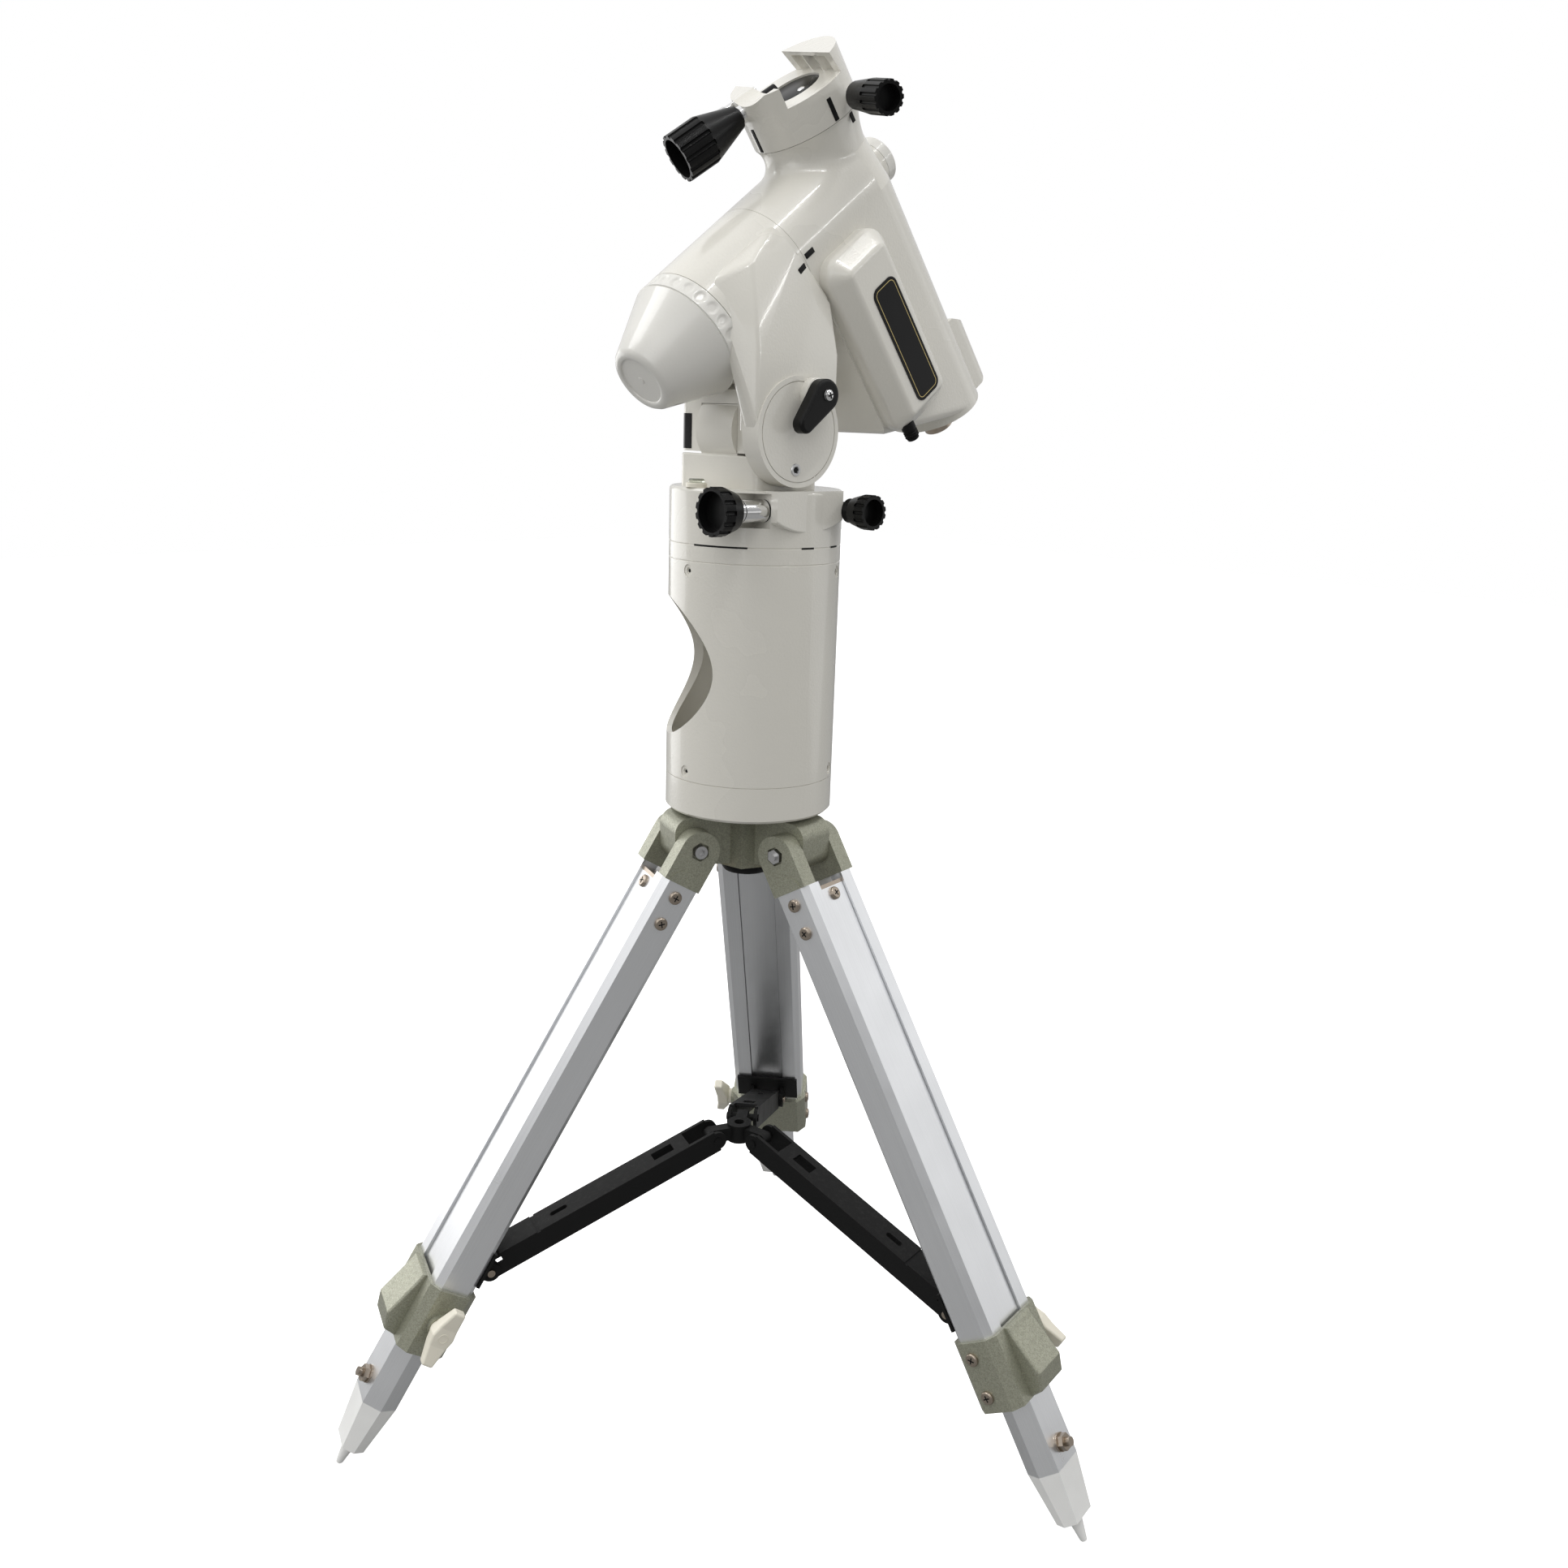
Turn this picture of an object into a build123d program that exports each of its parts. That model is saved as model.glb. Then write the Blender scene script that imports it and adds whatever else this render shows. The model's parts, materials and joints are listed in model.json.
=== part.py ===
from build123d import *
import os
from math import atan2, cos, hypot, pi, radians, sin, tan

# A motorised equatorial mount head on a half pillar and a folding tripod.
# Frame: +Z up, +Y north (the raised end of the polar axis), +X east.
# The origin is on the floor, on the vertical azimuth axis.  Millimetres.

# General fits
RUNNING = 0.05
SLIDING = 0.4
GAP = 0.3
BITE = 1.0
OVERCUT = 5.0

# Heights: each level stands on the one below it
LEG_PIVOT_Z = 476.5
HEAD_DROP = 18.5
HEAD_RISE = 26.5
FOOT_FLANGE = 27.0
TUBE_HEIGHT = 163.0
TOP_FLANGE = 12.0
BASE_HEIGHT = 40.0
BLOCK_HEIGHT = 23.0
ALT_RISE = 40.4
TONGUE_RISE = 17.6
LEVER_RISE = 25.6
POLAR_RISE = 113.3
CHEEK_RISE = 52.6
CHEEK_FADE = 57.0
HUB_DROP = 254.2
HEAD_BOTTOM = LEG_PIVOT_Z - HEAD_DROP
HEAD_TOP = LEG_PIVOT_Z + HEAD_RISE
PILLAR_BOTTOM = HEAD_TOP
LOWER_SEAM = PILLAR_BOTTOM + FOOT_FLANGE
UPPER_SEAM = LOWER_SEAM + TUBE_HEIGHT
PILLAR_TOP = UPPER_SEAM + TOP_FLANGE
BASE_SHELF = PILLAR_TOP + BASE_HEIGHT
ALT_Z = BASE_SHELF + ALT_RISE
TONGUE_TOP = ALT_Z + TONGUE_RISE
LEVER_Z = ALT_Z + LEVER_RISE
POLAR_Z = ALT_Z + POLAR_RISE
HUB_PIN_Z = LEG_PIVOT_Z - HUB_DROP

# Tripod leg: spread, section and lengths along the leg from its pivot
LEG_AZIMUTHS = (11.4, 131.4, 251.4)
LEG_SPREAD = 30.25
LEG_PIVOT_R = 51.0
LEG_HALF_WIDTH = 32.4
RAIL_INNER = 15.2
RAIL_HALF_DEPTH = 16.0
RAIL_CHAMFER = 5.0
RAIL_TOP = 29.0
RAIL_END = 425.0
RAIL_WALL = 2.5
SHANK_FLAT = 14.7
SHANK_POINT = 21.5
SHANK_HALF_DEPTH = 14.0
SHANK_TOP = 36.0
SHANK_END = 492.0
PLUG_TOP = 33.0
PLUG_SCREW_AT = 42.0
STOP_BOLT_AT = 477.0
STOP_BOLT_RADIUS = 5.5
STOP_WASHER_RADIUS = 6.9
STOP_WASHER = 1.5
STOP_HEAD = 6.0
STOP_TIP = 10.0
STOP_TIP_RADIUS = 3.3
FOOT_TAPER_END = 533.0
FOOT_TAPER = 5.0
FOOT_CONE = 5.9
FOOT_TIP_RADIUS = 2.5
FOOT_PLUG = 7.0
EAR_INNER = 17.6
EAR_RADIUS = 15.5
EAR_TENON = 45.0
EAR_PAD = 0.8
EAR_PAD_SHARE = 0.75
COLLAR_TOP = 381.0
COLLAR_END = 434.0
COLLAR_WALL = 3.4
COLLAR_FLAP = 14.0
COLLAR_FLAP_HALF = 17.0
COLLAR_ROUND = 2.0
COLLAR_BOSS = 4.0
COLLAR_BOSS_RADIUS = 8.8
FLAP_LIP = 6.0
FLAP_ROOT = 4.0
FLAP_PEAK = 16.0
FLAP_FOOT = 3.0
RAIL_SCREW_AT = (39.5, 61.7)
COLLAR_SCREW_AT = (393.0, 422.0)
COLLAR_SCREW_OUT = -4.0
PAN_RADIUS = 5.0
PAN_HEIGHT = 2.6
PAN_DOME = 1.56
PAN_STEM = 2.0
WING_AT = 407.0
WING_SPAN = 46.0
WING_STEM = 4.0
WING_HALF = 4.5
WING_HUB_RADIUS = 7.5
WING_ROOT = 7.0
WING_LOW = 13.0
WING_HUB = 14.0
WING_DIP = 18.0
WING_HIGH = 21.0
WING_ROUND = 1.8
WING_MIDDLE = 9.0
WING_TURNS = (32.0, 5.0, 5.0)
PIVOT_BOLT = 3.0
BOLT_HEAD = 5.0
BOLT_HEAD_DEPTH = 4.0
BOLT_CAP = 6.0
BOLT_TAIL = 8.0
NUT_HEIGHT = 5.5
NUT_FLATS = 10.0
RECESS_FLATS = 13.0

# Spreader
PIN_AT = 365.0
PIN_OUT = -27.0
PIN_RADIUS = 3.0
ARM_HALF_WIDTH = 12.5
ARM_WALL = 3.0
ARM_HEIGHT = 18.0
ARM_END_RADIUS = 7.5
ARM_FORK = 22.0
ARM_SLOPE = 12.0
ARM_GROOVE = (44.0, 47.0)
ARM_SLOT = 15.0
ARM_SLOT_AT = 66.0
ARM_WINDOW = (52.0, 34.0)
ARM_WINDOW_HALF = 5.0
RIVET_HEAD = 1.2
HUB_PIN_R = 23.6
HUB_LUG_HALF = 4.6
HUB_LUG_HEIGHT = 11.0
HUB_BOSS = 10.0
HUB_STEP = 2.0
HUB_HOLE = 4.1
BRACKET_PLATE = 2.5
BRACKET_HALF = 29.0
BRACKET_LUG = 3.5
BRACKET_RISE = 20.0
BRACKET_FALL = 9.0
PIN_HEAD = 2.0

# Tripod head casting
HEAD_RADIUS = 50.0
HEAD_DISC = 2.5
FLANGE_PLATE = 6.0
HEAD_COLUMN = 31.0
KNUCKLE_REACH = 66.0
KNUCKLE_STEP = 1.0
KNUCKLE_ROUND = 12.0
KNUCKLE_FOOT = 3.0

# Half pillar
PILLAR_RADIUS = 64.0
PILLAR_WALL = 4.0
SEAM_CHAMFER = 0.5
SPIGOT = 15.0
SPIGOT_WALL = 5.0
FLANGE_CHAMFER = 2.0
OPENING_RADIUS = 52.0
OPENING_RISE = 1.0
OPENING_Z = LOWER_SEAM + TUBE_HEIGHT / 2 + OPENING_RISE
OPENING_AZIMUTH = -121.7
PILLAR_SCREW_AZIMUTHS = (-89.5, 30.5, 150.5)
PILLAR_SCREW_INSET = 7.0
PILLAR_SCREW_HEAD = 4.5
PILLAR_SCREW_DEPTH = 2.5
PILLAR_SCREW_SUNK = 0.8

# Azimuth base
AXLE_RADIUS = 8.0
AXLE_HEAD = 14.0
AXLE_HEAD_HEIGHT = 9.0
AXLE_TOP = PILLAR_TOP + BASE_HEIGHT * 0.7
BASE_BACK = 21.0
BASE_LIP = 1.5
SHELF_ROUND = 3.0
SHIELD_FACE = 63.5
SHIELD_RADIUS = 66.0
SHIELD_Y = (-36.0, 28.0)
SHIELD_DROP = 4.0
SHIELD_INSET = 7.0
SHIELD_BOTTOM = PILLAR_TOP + SHIELD_INSET
TONGUE_HALF = 20.0
TONGUE_RADIUS = 27.0
TONGUE_BACK = 24.0
TONGUE_INSET = 0.5
ADJUSTER_Z = PILLAR_TOP + BASE_HEIGHT * 0.65
ALT_KNOB_X = 47.0
ALT_SHAFT_RADIUS = 8.0
ALT_KNOB_RADIUS = 17.0
ALT_KNOB_START = 64.0
ALT_KNOB_END = 82.0
NOTCH_HALF = 10.0
NOTCH_HALF_HEIGHT = 12.0
NOTCH_BACK = -34.0
AZ_KNOB_Y = 35.0
AZ_STEM_RADIUS = 6.0
AZ_STEM_ROOT = 26.0
AZ_KNOB_RADIUS = 12.5
AZ_FLARE = 8.75
AZ_KNOB_START = 70.0
AZ_KNOB_END = 88.0
LEVEL_RADIUS = 6.0
LEVEL_HEIGHT = 6.0
LEVEL_ROUND = 1.8
LEVEL_Y = -57.0

# Altitude axis and the polar (right ascension) axis
ALT_Y = -15.4
LATITUDE = 37.7
CROSSING = 92.0
RA_REST = 0.0
DEC_REST = -18.0
EAR_FACE = 61.0
EAR_DISC = 34.0
EAR_DRUM = 38.0
EAR_GROOVE = 0.6
ALT_PIN_RADIUS = 8.0
ALT_PIN_INSET = 8.0
BARREL_RADIUS = 44.0
FORK_HALF = BARREL_RADIUS
FORK_FRONT = -37.0
FORK_FOOT = 16.0
FORK_RADIUS = hypot(ALT_Y - FORK_FRONT, FORK_FOOT)
RA_SEAM = -90.0
CAP_SEAM = -167.6
CAP_BAND = 13.4
CAP_END = -228.0
CAP_END_RADIUS = 24.0
CAP_ROUND = 5.0
CAP_WALL = 2.5
CAP_RECESS_DEPTH = 1.2
CAP_DOT = 2.5
CAP_DOT_DEPTH = 0.4
CAP_RECESS = 17.5
SCOPE_RADIUS = BARREL_RADIUS - 14.0
SCOPE_DEPTH = 10.0
COLUMN_ROUND = 6.0
COLUMN_BACK = ALT_Y + EAR_DRUM - BITE
CHEEK_INNER = 33.0
CHEEK_FACE = EAR_FACE - 2.0
CHEEK_FRONT = -48.0
CHEEK_ROUND = 4.0
CHEEK_TOP = ALT_Z + CHEEK_RISE
RA_SHAFT_RADIUS = BARREL_RADIUS * 0.41
RA_SHAFT_BORE = RA_SHAFT_RADIUS - 6.0
RA_SHAFT_END = -30.0
RA_WHEEL_RADIUS = BARREL_RADIUS - 8.0
RA_WHEEL_WIDTH = 14.0
RA_WHEEL_INSET = 6.0
WHEEL_TEETH = 72
WHEEL_ROOM = 2.0
TOOTH_DEPTH = 1.2
LEVER_Y = -3.8
LEVER_END = (-18.0, -19.8)
LEVER_BOSS = 11.0
LEVER_NECK = 8.8
LEVER_TIP = 6.5
LEVER_SEAT = 7.0
LEVER_THICK = 9.0
LEVER_ROUND = 2.5
LEVER_SCREW = 4.0
LEVER_SCREW_HEIGHT = 1.3
LEVER_STEM = 3.0

# Declination body, in its own frame: x east, y along the polar axis, z along the declination axis
NECK_START = 30.0
NECK_FOOT = 10.0
NECK_MIDDLE = 40.0
NECK_WAIST = 35.0
NECK_FILLET = 12.0
TUBE_RADIUS = 34.0
DRUM_RADIUS = 41.0
DEC_SEAM = 57.0
BODY_HALF = 44.0
BODY_WALL = 6.0
BODY_KNEE = -146.0
BODY_BOTTOM = -187.0
BODY_FOOT_Y = -8.0
BODY_ROUND = 8.0
SLEEVE_LENGTH = 10.0
SHAFT_FOOT = 20.0
BOX_FACE = 65.0
BOX_SOUTH = -88.0
BOX_NORTH = -24.0
BOX_TOP = -8.0
BOX_BOTTOM = -150.0
BOX_CORNER = 16.0
BOX_WALL = 2.5
ROOM_INSET = 13.0
BOX_BEVEL = 12.0
BOX_ROUND = 6.0
MOTOR_OUT = 45.0
MOTOR_TOP = -125.0
MOTOR_ROUND = 12.0
MOTOR_HALF = 30.0
MOTOR_SLOPE = 12.0
MOTOR_LIP = 4.0
MOTOR_SEAT = 20.0
FRONT_BOSS = 18.0
FRONT_BOSS_END = 40.0
FRONT_CAP_END = 50.0
FRONT_PLUG = 6.0
FRONT_CHAMFER = 1.5
DEC_SHAFT_RADIUS = 16.0
DEC_WHEEL_RADIUS = 30.0
DEC_WHEEL_WIDTH = 12.0
BAR_RADIUS = 10.0
BAR_TOP = 46.0
BAR_ROOM = 3.0
BAR_END = -205.0
BAR_RING = 12.0
BAR_SLEEVE = 13.0
SIGHT_RADIUS = 8.0

# Dovetail saddle, in its own frame: y points from the clamp knob to the fixed jaw
GROOVE_FLOOR = 81.5
JAW_TOP = 97.0
JAW_FACE = 20.0
JAW_SLANT = 15.0
HORN_TOP = 95.5
HORN_FACE = -23.0
SCOOP_X = 10.0
SCOOP_RADIUS = 34.0
SCOOP_DEPTH = 4.0
JAW_FLUTES = (-17.0, 0.0, 17.0)
JAW_FLUTE_RADIUS = 8.3
JAW_LIP = 3.0
PLATE_RADIUS = 21.5
PLATE_DEPTH = 2.0
CLAMP_Z = 86.5
CLAMP_SHAFT = 5.0
CLAMP_ROOT = 11.0
CLAMP_CUP = 14.0
CLAMP_START = 45.0
CLAMP_END = 98.0
CLAMP_SMALL = 8.0
CLAMP_LARGE = 17.0
SAFETY_X = -14.5
SAFETY_Z = 91.0
SAFETY_RADIUS = 2.5
SAFETY_FLATS = 6.0
SAFETY_ROOT = 19.0
SAFETY_HEAD = 46.0
SAFETY_END = 53.0
DEC_KNOB_Z = 65.0
DEC_KNOB_Y = 24.0
DEC_KNOB_ROOT = 8.0
DEC_KNOB_RADIUS = 11.5
DEC_KNOB_STEM = 3.0
DEC_KNOB_START = 43.0
DEC_KNOB_END = 86.0
FLUTES = 14
KNOB_SHOULDER = 0.55
KNOB_WALL = 3.0
KNOB_FLUTE = 0.1
KNOB_WAIST = 0.8
KNOB_CUP = 8.0

MIN3 = (Align.MIN, Align.MIN, Align.MIN)
ON_AXIS = (Align.CENTER, Align.CENTER, Align.MIN)


def rod(plane, radius, low, high):
    """Cylinder on the plane's normal, from low to high along it."""
    return plane * Pos(0, 0, low) * Cylinder(radius, high - low, align=ON_AXIS)


def cone(plane, low_radius, high_radius, low, high):
    """Cone frustum on the plane's normal."""
    return plane * Pos(0, 0, low) * Cone(low_radius, high_radius, high - low, align=ON_AXIS)


def block(plane, x, y, z):
    """Box in the plane's coordinates, each argument a (low, high) pair."""
    size = Box(x[1] - x[0], y[1] - y[0], z[1] - z[0], align=MIN3)
    return plane * Pos(x[0], y[0], z[0]) * size


def prism(plane, points, low, high):
    """Polygon in the plane, extruded along its normal from low to high."""
    outline = Pos(0, 0, low) * make_face(Polyline(points, close=True))
    return plane * extrude(outline, high - low)


def hexagon(plane, flats, low, high):
    """Hexagonal prism, given across its flats."""
    corner = flats / 2 / cos(radians(30))
    face = Pos(0, 0, low) * RegularPolygon(corner, 6)
    return plane * extrude(face, high - low)


def knob(plane, small, large, low, high, cup):
    """Fluted hand knob that widens from low to high, with a hollow end."""
    rim = low + (high - low) * KNOB_SHOULDER
    body = cone(plane, small, large, low, rim) + rod(plane, large, rim, high)
    body -= rod(plane, large - KNOB_WALL, high - cup, high + OVERCUT)
    flute = large * KNOB_FLUTE
    for i in range(FLUTES):
        turn = radians(360 * i / FLUTES)
        spot = plane * Pos(large * cos(turn), large * sin(turn), 0)
        body -= spot * Pos(0, 0, rim - BITE) * Cylinder(flute, high - rim + OVERCUT, align=ON_AXIS)
    return body


def edges_where(shape, plane, test):
    """Edges whose middle point, in the plane's coordinates, passes a test."""
    return [edge for edge in shape.edges() if test(plane.to_local_coords(edge @ 0.5))]


def save(shape, name):
    """Write one named piece."""
    export_step(shape, f"parts/{name}.step")


def group(shapes):
    """Separate solids that share one name."""
    return Compound(children=list(shapes))


# Directions of the polar and declination axes
lat = radians(LATITUDE)
POLAR = Vector(0, cos(lat), sin(lat))
CROSS_POINT = Vector(0, 0, POLAR_Z) + POLAR * CROSSING
ra_axis = Plane(origin=CROSS_POINT, x_dir=(1, 0, 0), z_dir=POLAR)
tilt = radians(RA_REST)
east = Vector(1, 0, 0)
up = Vector(0, -sin(lat), cos(lat))
dec_z = up * cos(tilt) + east * sin(tilt)
dec_x = east * cos(tilt) - up * sin(tilt)
dec = Plane(origin=CROSS_POINT, x_dir=dec_x, z_dir=dec_z)
dec_ra = Plane(origin=CROSS_POINT, x_dir=dec_x, z_dir=POLAR)
dec_turn = radians(DEC_REST)
groove = dec.x_dir * cos(dec_turn) + dec.y_dir * sin(dec_turn)
saddle_frame = Plane(origin=CROSS_POINT, x_dir=groove, z_dir=dec_z)
alt_axis = Plane(origin=(0, ALT_Y, ALT_Z), x_dir=(0, 1, 0), z_dir=(1, 0, 0))
ground = Plane.XY


def compass(azimuth, height, radius=0.0):
    """Plane at a compass bearing whose normal points away from the azimuth axis."""
    a = radians(azimuth)
    spot = (radius * cos(a), radius * sin(a), height)
    return Plane(origin=spot, x_dir=(-sin(a), cos(a), 0), z_dir=(cos(a), sin(a), 0))


def leg_plane(azimuth):
    """Leg frame: x along its width, y outwards, z down the leg from the pivot."""
    a = radians(azimuth)
    spread = radians(LEG_SPREAD)
    spot = (LEG_PIVOT_R * cos(a), LEG_PIVOT_R * sin(a), LEG_PIVOT_Z)
    down = (sin(spread) * cos(a), sin(spread) * sin(a), -cos(spread))
    return Plane(origin=spot, x_dir=(-sin(a), cos(a), 0), z_dir=down)


# Leg pieces in the leg frame
SIDES = (1, -1)
LEG_LENGTH = LEG_PIVOT_Z / cos(radians(LEG_SPREAD))


def side_plane(side, out, along):
    """Plane on a leg's side face, its normal pointing away from the leg."""
    return Plane(origin=(side * LEG_HALF_WIDTH, out, along), x_dir=(0, 1, 0), z_dir=(side, 0, 0))


def pan_screw(plane):
    """Domed screw with a short stem sunk behind the plane."""
    head = rod(plane, PAN_RADIUS, 0, PAN_HEIGHT)
    head = fillet(head.faces().sort_by(Axis(plane.origin, plane.z_dir))[-1].edges(), PAN_DOME)
    return head + rod(plane, PAN_STEM, -PAN_HEIGHT, 0)


def screw_spots(side):
    """Planes of the rail screws on one side of a leg."""
    return [side_plane(side, 0, along) for along in RAIL_SCREW_AT]


def collar_spots():
    """Planes of the collar screws, on the side away from the wing knob."""
    face = LEG_HALF_WIDTH + COLLAR_WALL
    return [Plane(origin=(-face, COLLAR_SCREW_OUT, along), x_dir=(0, 1, 0), z_dir=(-1, 0, 0))
            for along in COLLAR_SCREW_AT]


def mirrored(points, side):
    """Outline points on one side of the leg."""
    return [(side * x, y) for x, y in points]


def rail(side):
    """Hollow side rail with the groove that guides the sliding shank."""
    slope = hypot(SHANK_POINT - SHANK_FLAT, SHANK_HALF_DEPTH)
    groove = SHANK_POINT + SLIDING * slope / SHANK_HALF_DEPTH
    run = (SHANK_POINT - SHANK_FLAT) / SHANK_HALF_DEPTH
    mouth = (groove - RAIL_INNER) / run
    flat = LEG_HALF_WIDTH - RAIL_CHAMFER
    deep = RAIL_HALF_DEPTH - RAIL_CHAMFER
    outline = [(RAIL_INNER, RAIL_HALF_DEPTH), (flat, RAIL_HALF_DEPTH), (LEG_HALF_WIDTH, deep),
               (LEG_HALF_WIDTH, -deep), (flat, -RAIL_HALF_DEPTH), (RAIL_INNER, -RAIL_HALF_DEPTH),
               (RAIL_INNER, -mouth), (groove, 0), (RAIL_INNER, mouth)]
    body = prism(ground, mirrored(outline, side), RAIL_TOP, RAIL_END)
    low, high = groove + RAIL_WALL, LEG_HALF_WIDTH - RAIL_WALL
    hollow = sorted((side * low, side * high))
    body -= block(ground, hollow, (-deep + BITE, deep - BITE), (RAIL_TOP - BITE, RAIL_END + BITE))
    for spot in screw_spots(side):
        body -= rod(spot, PAN_STEM + RUNNING, -RAIL_WALL - BITE, BITE)
    return body


def ear(side):
    """Cast ear on a rail's top, with a tenon in the rail and a rounded pivot end."""
    pivot = Plane(origin=(0, 0, 0), x_dir=(0, 1, 0), z_dir=(side, 0, 0))
    body = rod(pivot, EAR_RADIUS, EAR_INNER, LEG_HALF_WIDTH)
    width = sorted((side * EAR_INNER, side * LEG_HALF_WIDTH))
    body += block(ground, width, (-EAR_RADIUS, EAR_RADIUS), (0, RAIL_TOP))
    pad = rod(Plane(origin=(0, 0, RAIL_TOP), x_dir=(0, 1, 0), z_dir=(side, 0, 0)), EAR_RADIUS * EAR_PAD_SHARE,
              LEG_HALF_WIDTH, LEG_HALF_WIDTH + EAR_PAD)
    reach = LEG_HALF_WIDTH + OVERCUT
    body += pad & block(ground, (-reach, reach), (-EAR_RADIUS, EAR_RADIUS), (0, RAIL_TOP))
    groove = SHANK_POINT + SLIDING * hypot(SHANK_POINT - SHANK_FLAT, SHANK_HALF_DEPTH) / SHANK_HALF_DEPTH
    low, high = groove + RAIL_WALL + RUNNING, LEG_HALF_WIDTH - RAIL_WALL - PAN_HEIGHT
    half = RAIL_HALF_DEPTH - RAIL_CHAMFER - BITE - RUNNING
    tenon = sorted((side * low, side * high))
    body += block(ground, tenon, (-half, half), (RAIL_TOP - BITE, RAIL_TOP + EAR_TENON))
    body -= rod(pivot, PIVOT_BOLT + RUNNING, 0, reach)
    body -= hexagon(pivot, RECESS_FLATS, LEG_HALF_WIDTH - BOLT_HEAD_DEPTH, reach)
    return body


def octagon(grow):
    """Outline around both rails, grown by a wall thickness."""
    wide, deep = LEG_HALF_WIDTH + grow, RAIL_HALF_DEPTH + grow
    cut = RAIL_CHAMFER + grow * (2 - 2 ** 0.5)
    return [(wide - cut, deep), (wide, deep - cut), (wide, cut - deep), (wide - cut, -deep),
            (cut - wide, -deep), (-wide, cut - deep), (-wide, deep - cut), (cut - wide, deep)]


def shank_outline(grow):
    """Flat hexagon of the sliding shank."""
    slope = hypot(SHANK_POINT - SHANK_FLAT, SHANK_HALF_DEPTH)
    point = SHANK_POINT + grow * slope / SHANK_HALF_DEPTH
    flat = SHANK_FLAT + grow * (slope - (SHANK_POINT - SHANK_FLAT)) / SHANK_HALF_DEPTH
    deep = SHANK_HALF_DEPTH + grow
    return [(flat, deep), (point, 0), (flat, -deep), (-flat, -deep), (-point, 0), (-flat, deep)]


def wing_plane():
    """Plane of the clamp knob, its normal pointing away from the collar's side."""
    return Plane(origin=(LEG_HALF_WIDTH + COLLAR_WALL, 0, WING_AT), x_dir=(0, 1, 0), z_dir=(1, 0, 0))


def collar():
    """Cast clamp collar with a shield flap on its outer face and a boss for the wing knob."""
    body = prism(ground, octagon(COLLAR_WALL), COLLAR_TOP, COLLAR_END)
    body -= prism(ground, octagon(RUNNING), COLLAR_TOP - BITE, RAIL_END + GAP)
    body -= prism(ground, shank_outline(SLIDING), RAIL_END, COLLAR_END + BITE)
    face = RAIL_HALF_DEPTH + COLLAR_WALL
    lip = COLLAR_TOP + FLAP_LIP
    flap = [(face - BITE, COLLAR_TOP), (face + FLAP_ROOT - BITE, COLLAR_TOP + BITE), (face + FLAP_ROOT, lip),
            (face + COLLAR_FLAP, COLLAR_END - FLAP_PEAK),
            (face + COLLAR_FLAP - FLAP_ROOT, COLLAR_END - FLAP_FOOT), (face - BITE, COLLAR_END)]
    side = Plane(origin=(0, 0, 0), x_dir=(0, 1, 0), z_dir=(1, 0, 0))
    shield = prism(side, flap, -COLLAR_FLAP_HALF, COLLAR_FLAP_HALF)
    body += fillet(edges_where(shield, ground, lambda spot: spot.Y > face + BITE * 2), COLLAR_ROUND)
    body += rod(wing_plane(), COLLAR_BOSS_RADIUS, -BITE, COLLAR_BOSS)
    body -= rod(wing_plane(), WING_STEM + RUNNING, -COLLAR_WALL - BITE, COLLAR_BOSS + OVERCUT)
    for spot in collar_spots():
        body -= rod(spot, PAN_STEM + RUNNING, -PAN_HEIGHT - SLIDING, BITE)
    return body


def shank():
    """Hollow inner leg."""
    body = prism(ground, shank_outline(0), SHANK_TOP, SHANK_END)
    body -= prism(ground, shank_outline(-RAIL_WALL), SHANK_TOP - BITE, SHANK_END + BITE)
    for along in (PLUG_SCREW_AT, STOP_BOLT_AT):
        body -= rod(shank_face(along), PAN_STEM + RUNNING, -RAIL_WALL - BITE, BITE)
    return body


def shank_face(along):
    """Outer face of the shank at a distance down the leg."""
    return Plane(origin=(0, SHANK_HALF_DEPTH, along), x_dir=(1, 0, 0), z_dir=(0, 1, 0))


def travel_stops():
    """Top plug of the shank with its screw, and the stop bolt above the foot."""
    plug = prism(ground, shank_outline(0), PLUG_TOP, SHANK_TOP)
    plug += prism(ground, shank_outline(-RAIL_WALL - RUNNING), SHANK_TOP - BITE, SHANK_TOP + EAR_TENON)
    plug += pan_screw(shank_face(PLUG_SCREW_AT))
    spot = shank_face(STOP_BOLT_AT)
    bolt = rod(spot, STOP_WASHER_RADIUS, 0, STOP_WASHER)
    bolt += hexagon(spot, STOP_BOLT_RADIUS * 2, STOP_WASHER, STOP_HEAD)
    bolt += rod(spot, STOP_TIP_RADIUS, STOP_HEAD, STOP_TIP) + rod(spot, PAN_STEM, -PAN_HEIGHT, 0)
    return group([plug, bolt])


def foot():
    """Tapered hexagonal foot with a small pointed tip, its plug inside the shank."""
    upper = Pos(0, 0, SHANK_END) * make_face(Polyline(shank_outline(0), close=True))
    tip_outline = shank_outline(-FOOT_TAPER)
    lower = Pos(0, 0, FOOT_TAPER_END) * make_face(Polyline(tip_outline, close=True))
    body = loft([upper, lower])
    body += cone(ground, FOOT_CONE, FOOT_TIP_RADIUS, FOOT_TAPER_END - BITE, LEG_LENGTH)
    body += prism(ground, shank_outline(-RAIL_WALL - RUNNING), SHANK_END - FOOT_PLUG, SHANK_END + BITE)
    return body


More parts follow.
